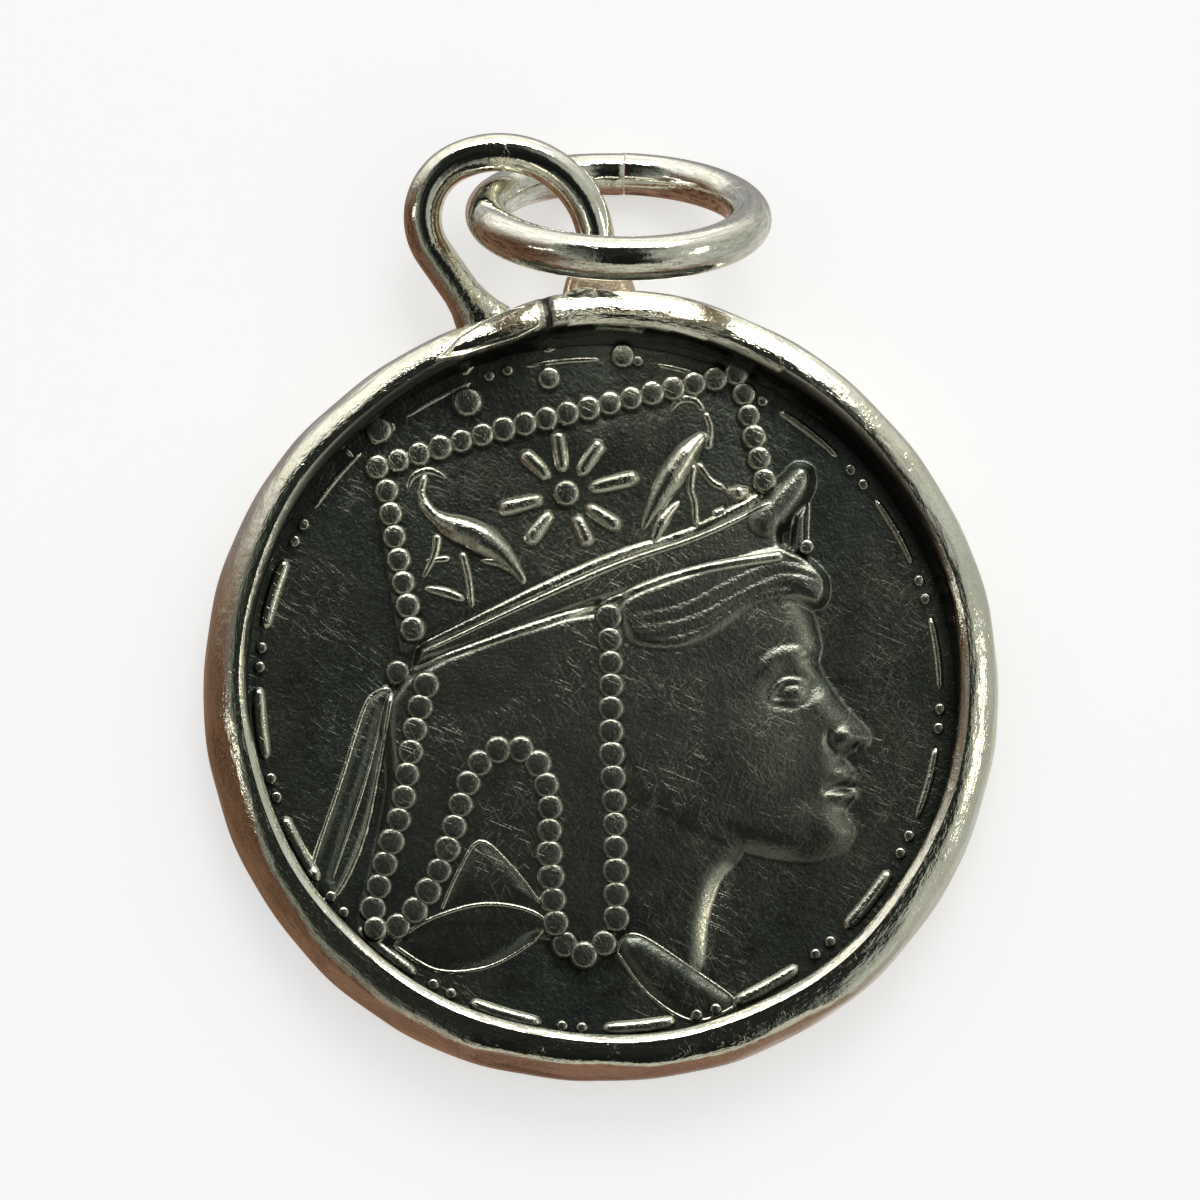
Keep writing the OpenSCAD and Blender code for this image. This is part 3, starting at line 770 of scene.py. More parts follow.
class PENDANT_OT_bezel(bpy.types.Operator):
    """Form the frame: its section spun round the coin, then made a little uneven as by hand"""
    bl_idname = "pendant.bezel"
    bl_label = "Form Frame"

    STEPS = 480
    ROUGHNESS = 0.08
    # Where the strip's ends meet, in degrees, and how far round the solder's pits run from there.
    JOINT_A = 88.3
    PITS_REACH = 12
    # The joint is a notch, cut down by this much over this many degrees.
    JOINT_DOWN = 0.3
    JOINT_OVER = 0.8
    # The burnisher has flattened the crest beside the joint: where, over how much and how far down.
    FLATTENED = (80, 6, 0.1)
    # How far each part of the hammered side stands out, as shares of the wall: angle, share.
    HAMMERED = [(-180, 0.0), (-160, -0.05), (-130, -0.05), (-100, -0.3), (-80, -0.12), (-60, 0.05),
                (-30, 0.1), (-10, 0.2), (30, 0.25), (50, 0.4), (70, 0.42), (90, 0.2), (112, 0.1),
                (140, 0.15), (170, 0.0), (180, 0.0)]
    # How far the lip's crest stands out from its even place: angle, millimetres.
    LIP_AT = [(-180, -0.13), (-145, -0.17), (-100, -0.12), (-60, -0.02), (-10, 0.08), (35, 0.2),
              (60, 0.34), (80, 0.4), (88, 0.34), (95, 0.12), (125, 0.0), (150, -0.08), (180, -0.13)]
    # The lip's inside has painted shade up to this far below the crest, and the painted shade fades over
    # this much.
    BRIGHT_EDGE = 0.16
    PAINTED_SHADE_FADE = 0.1

    def execute(self, context):
        settings = context.scene.pendant_bezel
        section = bezel_section(settings)
        bezel = add_section("bezel", [(x * MM, 0, z * MM) for x, z in section])
        spin(self.STEPS, FULL_TURN)
        leave_edit()
        finish_shell(bezel, merge=1e-6)
        co = points_of(bezel) / MM
        self.form_by_hand(co, settings.wall / MM)
        move_points(bezel, co * MM)
        inner = np.hypot(co[:, 0], co[:, 1]) < COIN_R - 0.05
        turned = np.degrees(np.arctan2(co[:, 1], co[:, 0]))
        seam = ease(1.4 - np.abs(turned - self.JOINT_A)) * (co[:, 2] > FACE)
        # On the picture's top and right, where the lip's inside faces away from the light, the painted
        # shade reaches right up to the crest.
        bright = self.BRIGHT_EDGE - self.BRIGHT_EDGE * ease(1.9 - np.abs(turned - 90) / 60)
        dark = inner * ease((FRAME_H - bright - co[:, 2]) / self.PAINTED_SHADE_FADE)
        # The lip's painted shade and the joint's own dark line share one mask.
        keep_mask(bezel, "painted_shade_and_seam", np.maximum(dark, seam))
        near = np.abs((turned - self.JOINT_A + 180) % 360 - 180)
        keep_mask(bezel, "solder", ease(1 - near / self.PITS_REACH))
        silver = silver_metal("frame_silver", settings.silver, self.ROUGHNESS, True)
        place(bezel, "frame", silver)
        return {"FINISHED"}

    def form_by_hand(self, co, wall):
        """The hammered side, a lip pressed over in short strokes, and the joint in the strip.

        It moves the points that it is given, in millimetres.
        """
        angle = np.arctan2(co[:, 1], co[:, 0])
        turn = np.degrees(angle)
        r = np.hypot(co[:, 0], co[:, 1])
        side = ease((r - COIN_R + 0.1) / 0.5)
        high = ease((co[:, 2] - FACE) / FRONT_RISE)
        out = wall * np.interp(turn, *zip(*self.HAMMERED)) * side
        # Slow waves round the lip, and quicker ones where the hammer fell on the side.
        out += high * (0.025 * np.sin(5 * angle + 1.2) + 0.02 * np.sin(11 * angle + 0.4))
        out += side * (0.012 * np.sin(17 * angle) + 0.008 * np.sin(29 * angle + 2 + 2 * co[:, 2]))
        # At the picture's bottom the shoulder is squarer than a quarter of an ellipse.
        rise = np.clip(2 * co[:, 2] / FRAME_H - 1, 0, 1)
        square = (1 - rise ** 4) ** 0.25 - (1 - rise ** 2) ** 0.5
        outer = (r > COIN_R - 0.16) & (co[:, 2] > FRAME_H / 2)
        uneven = 0.85 + 0.15 * np.sin(19 * angle) * np.sin(7 * angle + 1)
        out += outer * ease(1.7 - np.abs(turn + 100) / 50) * uneven * square
        # The lip is pressed further over on one side than on the other.
        lip = np.where(r < COIN_R + 0.1, ease((co[:, 2] - FACE) / 0.4),
                       ease((co[:, 2] - FACE + 0.2) / 0.9))
        out += np.interp(turn, *zip(*self.LIP_AT)) * lip
        away = np.abs(turn - self.JOINT_A)
        flat_at, flat_over, flat_down = self.FLATTENED
        pressed = np.exp(-((turn - flat_at) / flat_over) ** 2) * high
        down = self.JOINT_DOWN * np.clip(1 - away / self.JOINT_OVER, 0, 1) * high
        down += 0.03 * high * (1 + np.sin(7 * angle)) + flat_down * pressed
        co[:, 0] += out * np.cos(angle)
        co[:, 1] += out * np.sin(angle)
        co[:, 2] -= down


class PENDANT_OT_loop(bpy.types.Operator):
    """Bend the loop: a round wire drawn straight, then turned about two centres"""
    bl_idname = "pendant.loop"
    bl_label = "Bend Loop"

    # How far aside the wide side's centre is, and the loop's rise from lying flat, in degrees.
    SHIFT = -0.58
    SLOPE = 12.0
    # The angles at which the right leg starts, the two arcs meet and the left leg starts.
    RIGHT = -6.0
    MEET = 107.0
    LEFT = 206.0
    WIDE_STEPS = 48
    TIGHT_STEPS = 44
    # How much room is left between the loop and the jump ring's wire under it.
    OVER = 0.21
    RIGHT_LEG = 1.7
    ROUGHNESS = 0.07
    # The left leg spreads a little before the pad: start, end, spread.
    LEFT_FLARE = [(0.0, 1.2, 1.0), (1.2, 1.55, 1.1), (1.55, 1.9, 1.2), (1.9, 2.25, 1.25)]
    # The solder that flares at the right foot: distance from its end, share of the wire's radius.
    FLARE = [(0.0, 1.6), (0.2, 2.0), (0.4, 1.95), (0.6, 1.85), (0.8, 1.72), (1.0, 1.52), (1.25, 1.25),
             (1.5, 1.0)]
    # Solder has run up each leg from its foot: where its pits end, over how much, and how strong.
    LEFT_PITS = (1.9, 1.2, 1.0)
    RIGHT_PITS = (1.2, 1.0, 0.2)
    RIGHT_FLUSH = (1.35, 0.8, 1.0)

    def execute(self, context):
        settings = context.scene.pendant_loop
        wire_r = settings.wire_d / 2 / MM
        wide_r, tight_r = settings.wide_r / MM, settings.tight_r / MM
        wide = np.array([self.SHIFT, settings.reach / MM])
        tight = wide + (wide_r - tight_r) * unit(self.MEET)
        start = wide + wide_r * unit(self.RIGHT)
        leg = unit(self.RIGHT - 90)
        foot = start + leg * self.RIGHT_LEG
        across = unit(self.RIGHT)
        ring = [(*(foot + across * c * wire_r * self.FLARE[0][1]), s * wire_r) for c, s in round_wire()]
        loop = add_section("loop", np.array(ring) * MM)
        for (low, wide_low), (high, wide_high) in zip(self.FLARE, self.FLARE[1:]):
            self.draw_out(-leg * (high - low))
            self.widen(foot - leg * high, wide_high / wide_low)
        self.draw_out(-leg * (self.RIGHT_LEG - self.FLARE[-1][0]))
        spin(self.WIDE_STEPS, self.RIGHT - self.MEET, wide)
        spin(self.TIGHT_STEPS, self.MEET - self.LEFT, tight)
        end = tight + tight_r * unit(self.LEFT)
        away = unit(self.LEFT + 90)
        for low, high, wider in self.LEFT_FLARE:
            self.draw_out(away * (high - low))
            self.widen(end + away * high, wider)
        leave_edit()
        finish_shell(loop, merge=1e-6)
        co = points_of(loop) / MM
        left = co[:, 0] < 0
        keep_mask(loop, "solder", np.where(left, self.run_up(co, self.LEFT_PITS),
                                           self.run_up(co, self.RIGHT_PITS)))
        keep_mask(loop, "flush", np.where(co[:, 0] > 0, self.run_up(co, self.RIGHT_FLUSH), 0.0))
        lift = RING_WIRE_D + LOOP_WIRE_D / 2 + self.OVER
        turn = Matrix.Rotation(math.radians(self.SLOPE), 3, "X")
        co = co @ np.array(turn).T + np.array([0, FRAME_R, lift])
        move_points(loop, co * MM)
        silver = silver_metal("loop_silver", settings.silver, self.ROUGHNESS)
        place(loop, "frame", silver)
        return {"FINISHED"}

    @staticmethod
    def draw_out(step):
        """Draws the wire's end out straight."""
        bpy.ops.mesh.extrude_region_move(TRANSFORM_OT_translate={"value": (*(step * MM), 0)})

    @staticmethod
    def widen(centre, share):
        """Spreads the wire's end in the loop's plane."""
        bpy.ops.transform.resize(value=(share, share, 1), center_override=(*(centre * MM), 0))

    @staticmethod
    def run_up(co, reach):
        """A mask that is strongest at the feet and fades up the legs."""
        top, fade, strength = reach
        return strength * ease((top - co[:, 1]) / fade)


class PENDANT_OT_jump_ring(bpy.types.Operator):
    """Turn the jump ring: round wire spun nearly full circle, with its two cut ends a little apart"""
    bl_idname = "pendant.jump_ring"
    bl_label = "Turn Jump Ring"

    # How steeply the ring leans and how far it is turned, and where round it the cut is, in degrees.
    LEAN = 54.0
    TURN = -9.6
    CUT_AT = 84.5
    STEPS = 180
    # One end springs in a little behind the other: how far, and over how many degrees.
    SPRING = 0.06
    SPRING_OVER = 40
    ROUGHNESS = 0.08

    def execute(self, context):
        settings = context.scene.pendant_ring
        wire_r = settings.wire_d / 2 / MM
        line_r = (settings.diameter - settings.wire_d) / 2 / MM
        span = math.degrees(settings.cut / MM / line_r)
        ring = [(line_r + c * wire_r, 0, s * wire_r) for c, s in round_wire()]
        jump = add_section("jump_ring_wire", np.array(ring) * MM)
        spin(self.STEPS, span - FULL_TURN)
        leave_edit()
        finish_shell(jump)
        co = points_of(jump) / MM
        past = np.degrees(np.arctan2(co[:, 1], co[:, 0]))
        spring = -self.SPRING * ease(1 - past / self.SPRING_OVER) * (past > 0)
        co[:, :2] *= (1 + spring / line_r)[:, None]
        first = Matrix.Rotation(math.radians(self.CUT_AT + span / 2), 3, "Z")
        lean = Matrix.Rotation(math.radians(-self.LEAN), 3, "X")
        turn = Matrix.Rotation(math.radians(self.TURN), 3, "Z")
        co = co @ np.array(turn @ lean @ first).T
        # The ring is laid where the frame's own ring is.
        low, high = np.array(RING_LOW) / MM, np.array(RING_HIGH) / MM
        co += (low + high) / 2 - (co.min(0) + co.max(0)) / 2
        move_points(jump, co * MM)
        silver = silver_metal("ring_silver", settings.silver, self.ROUGHNESS)
        place(jump, "jump_ring", silver)
        return {"FINISHED"}


class PENDANT_OT_solder(bpy.types.Operator):
    """Run the solder: a filed pad on one side of the frame's joint and a lump on the other"""
    bl_idname = "pendant.solder"
    bl_label = "Run Solder"

    # Outlines seen from above. The pad's filed face leans towards the coin, in degrees.
    PAD = [(-3.0, 8.78), (-2.2, 9.45), (-1.44, 9.82), (-0.55, 10.1), (0.05, 10.14), (0.28, 9.85),
           (0.2, 9.35), (-0.5, 9.08), (-1.3, 8.95), (-2.2, 8.78)]
    PAD_LEAN = 16.5
    LUMP = [(0.34, 9.4), (0.37, 9.95), (0.8, 10.25), (1.4, 10.3), (2.1, 10.1), (2.5, 9.8),
            (1.6, 9.45), (0.95, 9.25)]
    # How each block is poured: its foot below the crest, its height, and how much its top narrows.
    PAD_POUR = (0.75, 0.72, 0.86)
    LUMP_POUR = (0.9, 0.75, 0.82)
    # How far each top face is stepped in and up.
    PAD_STEP = (0.14, 0.12)
    LUMP_STEPS = [(0.16, 0.08), (0.12, 0.02)]
    CRUMPLE = 0.05
    PAD_SOFT = 0.05
    LUMP_SOFT = 0.12
    # Edges sharper than this are softened, in this many steps.
    SOFT_OVER = 12
    SOFT_STEPS = 3
    SMOOTH_UNDER = 60
    PITTED = 0.7
    ROUGHNESS = 0.24

    def execute(self, context):
        settings = context.scene.pendant_bezel
        pad = self.pour("solder_pad", self.PAD, *self.PAD_POUR)
        middle = np.mean(self.PAD, axis=0)
        bpy.ops.transform.rotate(value=math.radians(self.PAD_LEAN), orient_axis="X",
                                 center_override=(*(middle * MM), FRAME_H * MM))
        self.step_in(*self.PAD_STEP)
        self.soften(pad, self.PAD_SOFT)
        silver = silver_metal("solder_silver", settings.silver, self.ROUGHNESS)
        place(pad, "frame", silver)
        lump = self.pour("solder_lump", self.LUMP, *self.LUMP_POUR)
        for step in self.LUMP_STEPS:
            self.step_in(*step)
        bpy.ops.mesh.select_all(action="SELECT")
        bpy.ops.mesh.subdivide(number_cuts=1)
        # The points are put in a fixed order, so that they crumple in the same way each run.
        bpy.ops.mesh.sort_elements(type="CURSOR_DISTANCE", elements={"VERT"})
        bpy.ops.transform.vertex_random(offset=self.CRUMPLE * MM, seed=4)
        self.soften(lump, self.LUMP_SOFT)
        place(lump, "frame", bpy.data.materials["solder_silver"])
        return {"FINISHED"}

    @staticmethod
    def pour(name, outline, sunk, height, narrow):
        """A low block on an outline, narrower at its top, with its top face selected."""
        base = FRAME_H - sunk
        piece = add_section(name, [(x * MM, y * MM, base * MM) for x, y in outline])
        bpy.ops.mesh.edge_face_add()
        bpy.ops.mesh.extrude_region_move(TRANSFORM_OT_translate={"value": (0, 0, height * MM)})
        middle = np.mean(outline, axis=0)
        bpy.ops.transform.resize(value=(narrow, narrow, 1),
                                 center_override=(*(middle * MM), (base + height) * MM))
        bpy.ops.mesh.select_mode(type="FACE")
        return piece

    @staticmethod
    def step_in(inwards, upwards):
        """Steps the selected top face in and up."""
        bpy.ops.mesh.inset(thickness=inwards * MM, depth=upwards * MM)

    def soften(self, piece, width):
        """Leaves edit mode, rounds the block's edges and marks it as pitted all over."""
        leave_edit()
        bevel = piece.modifiers.new("bevel", "BEVEL")
        bevel.width = width * MM
        bevel.segments = self.SOFT_STEPS
        bevel.limit_method = "ANGLE"
        bevel.angle_limit = math.radians(self.SOFT_OVER)
        bpy.ops.object.modifier_apply(modifier="bevel")
        bpy.ops.object.mode_set(mode="EDIT")
        bpy.ops.mesh.select_mode(type="VERT")
        finish_shell(piece, angle=self.SMOOTH_UNDER)
        keep_mask(piece, "solder", np.full(len(piece.data.vertices), self.PITTED))


# How deep each mark goes, in millimetres.
COIN_GRAIN = 0.012
COIN_SCRATCHES = 0.0018
SILVER_WAVES = 0.022
SILVER_DENTS = 0.005
SILVER_FILED = 0.035
SILVER_PITS = 0.03
SILVER_SCRATCHES = 0.0012


# Shader node groups that several materials share.
def group_of(name, inputs, outputs):
    """An empty node group with its sockets, and its two end nodes."""
    group = bpy.data.node_groups.new(name, "ShaderNodeTree")
    for label, kind, value in inputs:
        socket = group.interface.new_socket(label, in_out="INPUT", socket_type=kind)
        if value is not None:
            socket.default_value = value
    for label, kind in outputs:
        group.interface.new_socket(label, in_out="OUTPUT", socket_type=kind)
    return group, group.nodes.new("NodeGroupInput"), group.nodes.new("NodeGroupOutput")


def node(tree, kind, **values):
    """A node with its settings and its sockets' own values given by name."""
    new = tree.nodes.new(kind)
    for key, value in values.items():
        if key in new.inputs:
            new.inputs[key].default_value = value
        else:
            setattr(new, key, value)
    return new


def math_node(tree, operation, a, b=None):
    """One step of sums. Each term is a number or a socket."""
    new = node(tree, "ShaderNodeMath", operation=operation)
    for socket, value in zip(new.inputs, (a, b)):
        if value is None:
            continue
        if isinstance(value, (int, float)):
            socket.default_value = value
        else:
            tree.links.new(value, socket)
    return new.outputs[0]


def times(tree, a, b):
    return math_node(tree, "MULTIPLY", a, b)


def plus(tree, a, b):
    return math_node(tree, "ADD", a, b)


def ramp(tree, source, stops):
    """A colour ramp: pairs of place and value, each value a grey or a colour."""
    new = tree.nodes.new("ShaderNodeValToRGB")
    elements = new.color_ramp.elements
    while len(elements) < len(stops):
        elements.new(0.5)
    for element, (at, value) in zip(elements, stops):
        colour = value if isinstance(value, tuple) else (value, value, value)
        element.position = at
        element.color = (*colour, 1)
    tree.links.new(source, new.inputs["Fac"])
    return new.outputs["Color"]


def scratch_group():
    """Fine short scratches in several directions, in patches, as a mask from 0 to 1."""
    name = "Hairline scratches"
    if name in bpy.data.node_groups:
        return bpy.data.node_groups[name]
    group, start, end = group_of(name, [("Vector", "NodeSocketVector", None),
                                        ("Density", "NodeSocketFloat", 0.5)],
                                 [("Mask", "NodeSocketFloat")])
    total = None
    # The direction of each set of scratches, and the scales along and across it.
    for turn, long, fine in ((32, 1100, 30000), (51, 1500, 34000), (74, 1300, 30000),
                             (117, 1000, 28000), (146, 1600, 38000)):
        turned = node(group, "ShaderNodeMapping", Rotation=(0, 0, math.radians(turn)))
        group.links.new(start.outputs["Vector"], turned.inputs["Vector"])
        drawn = node(group, "ShaderNodeMapping", Scale=(long, fine, long))
        group.links.new(turned.outputs["Vector"], drawn.inputs["Vector"])
        noise = node(group, "ShaderNodeTexNoise", Scale=1.0, Detail=1.0, Roughness=0.4)
        group.links.new(drawn.outputs["Vector"], noise.inputs["Vector"])
        line = ramp(group, noise.outputs["Fac"], [(0.69, 0), (0.74, 1), (0.78, 0)])
        total = line if total is None else math_node(group, "MAXIMUM", total, line)
    patch = node(group, "ShaderNodeTexNoise", Scale=420.0, Detail=2.0)
    group.links.new(start.outputs["Vector"], patch.inputs["Vector"])
    patches = ramp(group, patch.outputs["Fac"], [(0.38, 0.15), (0.62, 1)])
    total = times(group, total, patches)
    group.links.new(times(group, total, start.outputs["Density"]), end.inputs["Mask"])
    return group


def mottle_group():
    """Soft cloudy unevenness and fine grain, as two masks from 0 to 1."""
    name = "Mottle and grain"
    if name in bpy.data.node_groups:
        return bpy.data.node_groups[name]
    group, start, end = group_of(name, [("Vector", "NodeSocketVector", None),
                                        ("Cloud Scale", "NodeSocketFloat", 600.0),
                                        ("Grain Scale", "NodeSocketFloat", 9000.0)],
                                 [("Cloud", "NodeSocketFloat"), ("Grain", "NodeSocketFloat")])
    for scale, label, detail in (("Cloud Scale", "Cloud", 5.0), ("Grain Scale", "Grain", 3.0)):
        noise = node(group, "ShaderNodeTexNoise", Detail=detail, Roughness=0.6)
        group.links.new(start.outputs["Vector"], noise.inputs["Vector"])
        group.links.new(start.outputs[scale], noise.inputs["Scale"])
        group.links.new(noise.outputs["Fac"], end.inputs[label])
    return group


def rim_group():
    """Marks that a file and a burnisher leave along a round rim, as a mask from 0 to 1."""
    along, across = 11.0, 4600.0
    group, start, end = group_of("Rim marks", [("Vector", "NodeSocketVector", None)],
                                 [("Mask", "NodeSocketFloat")])
    split = group.nodes.new("ShaderNodeSeparateXYZ")
    group.links.new(start.outputs["Vector"], split.inputs[0])
    x, y, z = split.outputs
    turn = math_node(group, "ARCTAN2", math_node(group, "ABSOLUTE", y), x)
    away = math_node(group, "SQRT", plus(group, times(group, x, x), times(group, y, y)))
    join = group.nodes.new("ShaderNodeCombineXYZ")
    for source, scale, socket in zip((turn, away, z), (along, across, across), join.inputs):
        group.links.new(times(group, source, scale), socket)
    noise = node(group, "ShaderNodeTexNoise", Scale=1.0, Detail=4.0, Roughness=0.6)
    group.links.new(join.outputs[0], noise.inputs["Vector"])
    group.links.new(noise.outputs["Fac"], end.inputs["Mask"])
    return group


def new_material(name):
    """A metal, its nodes, its shader and the places on the piece that its patterns read."""
    material = bpy.data.materials.new(name)
    material.use_nodes = True
    tree = material.node_tree
    shader = tree.nodes["Principled BSDF"]
    shader.inputs["Metallic"].default_value = 1.0
    where = tree.nodes.new("ShaderNodeTexCoord").outputs["Object"]
    return material, tree, shader, where


def use_group(tree, group, where, **values):
    """A shared group in a material, with its own values given by name."""
    new = tree.nodes.new("ShaderNodeGroup")
    new.node_tree = group
    tree.links.new(where, new.inputs["Vector"])
    for key, value in values.items():
        new.inputs[key.replace("_", " ")].default_value = value
    return new


def mask_of(tree, name):
    """The mask that a piece keeps on its points, which is 0 all over where it keeps none."""
    return node(tree, "ShaderNodeAttribute", attribute_name=name).outputs["Fac"]


def scaled(colour, *shares):
    """A colour times a share, or times a share for each of red, green and blue."""
    return tuple(c * k for c, k in zip(colour, shares * 3 if len(shares) == 1 else shares))


def mixed(tree, factor, first, second):
    """A colour mix by a mask. Each colour is a triple or a socket."""
    mix = node(tree, "ShaderNodeMix", data_type="RGBA")
    tree.links.new(factor, mix.inputs["Factor"])
    for label, value in (("A", first), ("B", second)):
        socket = next(s for s in mix.inputs if s.name == label and s.type == "RGBA")
        if isinstance(value, bpy.types.NodeSocket):
            tree.links.new(value, socket)
        else:
            socket.default_value = (*value, 1)
    return next(s for s in mix.outputs if s.type == "RGBA")


def bump(tree, height, depth, normal=None):
    """Raises a pattern by a depth in millimetres, on top of an earlier one."""
    new = node(tree, "ShaderNodeBump", Strength=1.0, Distance=depth * MM)
    tree.links.new(height, new.inputs["Height"])
    if normal is not None:
        tree.links.new(normal, new.inputs["Normal"])
    return new.outputs["Normal"]


def coin_metal(settings):
    """Oxidised silver: dark and satin in the hollows, a little paler where it is rubbed, and paler with a
    highlight painted down the neck's front.
    """
    material, tree, shader, where = new_material("oxidised_silver")
    marks = use_group(tree, mottle_group(), where, Cloud_Scale=900.0, Grain_Scale=12000.0)
    broad = use_group(tree, mottle_group(), where, Cloud_Scale=230.0, Grain_Scale=5200.0)
    lines = use_group(tree, scratch_group(), where, Density=1.0)
    wear_and_highlight = mask_of(tree, "wear_and_highlight")
    cloud = ramp(tree, marks.outputs["Cloud"], [(0.3, 0), (0.7, 1)])
    speck = ramp(tree, marks.outputs["Grain"], [(0.58, 0), (0.75, 1)])
    patchy = plus(tree, 0.7, times(tree, cloud, 0.3))
    # The rubbed places, with the painted highlight down the neck's front among them.
    rubbed_and_highlit = times(tree, wear_and_highlight, patchy)
    # The dark runs from near black to grey in small clouds, and from cool to warm in broad ones.
    dark = mixed(tree, cloud, scaled(settings.dark, 0.6), scaled(settings.dark, 1.4))
    cool = scaled(settings.dark, 0.8, 1.02, 1.05)
    warm = scaled(settings.dark, 1.2, 1.08, 0.85)
    tinged = mixed(tree, ramp(tree, broad.outputs["Cloud"], [(0.35, 0), (0.65, 1)]), cool, warm)
    dark = mixed(tree, times(tree, cloud, 0.5), dark, tinged)
    colour = mixed(tree, math_node(tree, "MINIMUM", rubbed_and_highlit, 1.0), dark, tuple(settings.worn_and_highlight))
    colour = mixed(tree, times(tree, speck, 0.35), colour, (0.42, 0.43, 0.38))
    scratched = times(tree, lines.outputs["Mask"], 0.2)
    colour = mixed(tree, scratched, colour, (0.45, 0.45, 0.4))
    tree.links.new(colour, shader.inputs["Base Color"])
    satin = math_node(tree, "SUBTRACT", 0.24, times(tree, rubbed_and_highlit, 0.14))
    rough = plus(tree, satin, times(tree, marks.outputs["Grain"], 0.1))
    tree.links.new(rough, shader.inputs["Roughness"])
    normal = bump(tree, marks.outputs["Grain"], COIN_GRAIN)
    normal = bump(tree, broad.outputs["Grain"], COIN_GRAIN, normal)
    normal = bump(tree, lines.outputs["Mask"], COIN_SCRATCHES, normal)
    tree.links.new(normal, shader.inputs["Normal"])
    return material


def silver_metal(name, silver, roughness, rim=False):
    """Polished silver with hammered waves, fine scratches, pits where solder has run, and painted shade
    inside the frame's lip.
    """
    material, tree, shader, where = new_material(name)
    marks = use_group(tree, mottle_group(), where, Cloud_Scale=800.0, Grain_Scale=4200.0)
    lines = use_group(tree, scratch_group(), where, Density=0.3)
    solder, painted_shade_and_seam, flush = (mask_of(tree, name) for name in ("solder", "painted_shade_and_seam", "flush"))
    cloud = ramp(tree, marks.outputs["Cloud"], [(0.35, 0), (0.75, 1)])
    colour = mixed(tree, cloud, tuple(silver), scaled(silver, 0.9, 0.88, 0.8))
    patchy = plus(tree, 0.35, times(tree, cloud, 0.5))
    coppery = (0.82, 0.6, 0.44)
    colour = mixed(tree, times(tree, flush, patchy), colour, coppery)
    # Painted shade: near black on the frame lip's inside, together with the joint's own dark line.
    colour = mixed(tree, painted_shade_and_seam, colour, scaled(silver, 0.045))
    tree.links.new(colour, shader.inputs["Base Color"])
    rough = roughness - 0.03
    for mask, share in ((cloud, 0.06), (flush, 0.16), (painted_shade_and_seam, 0.15), (lines.outputs["Mask"], 0.12)):
        rough = plus(tree, rough, times(tree, mask, share))
    tree.links.new(rough, shader.inputs["Roughness"])
    pits = times(tree, marks.outputs["Grain"], plus(tree, 0.22, solder))
    normal = bump(tree, marks.outputs["Cloud"], SILVER_WAVES)
    dents = ramp(tree, marks.outputs["Cloud"], [(0.58, 0), (0.63, 1)])
    normal = bump(tree, dents, SILVER_DENTS, normal)
    if rim:
        filed = use_group(tree, rim_group(), where)
        normal = bump(tree, filed.outputs["Mask"], SILVER_FILED, normal)
    normal = bump(tree, pits, SILVER_PITS, normal)
    normal = bump(tree, lines.outputs["Mask"], SILVER_SCRATCHES, normal)
    tree.links.new(normal, shader.inputs["Normal"])
    return material


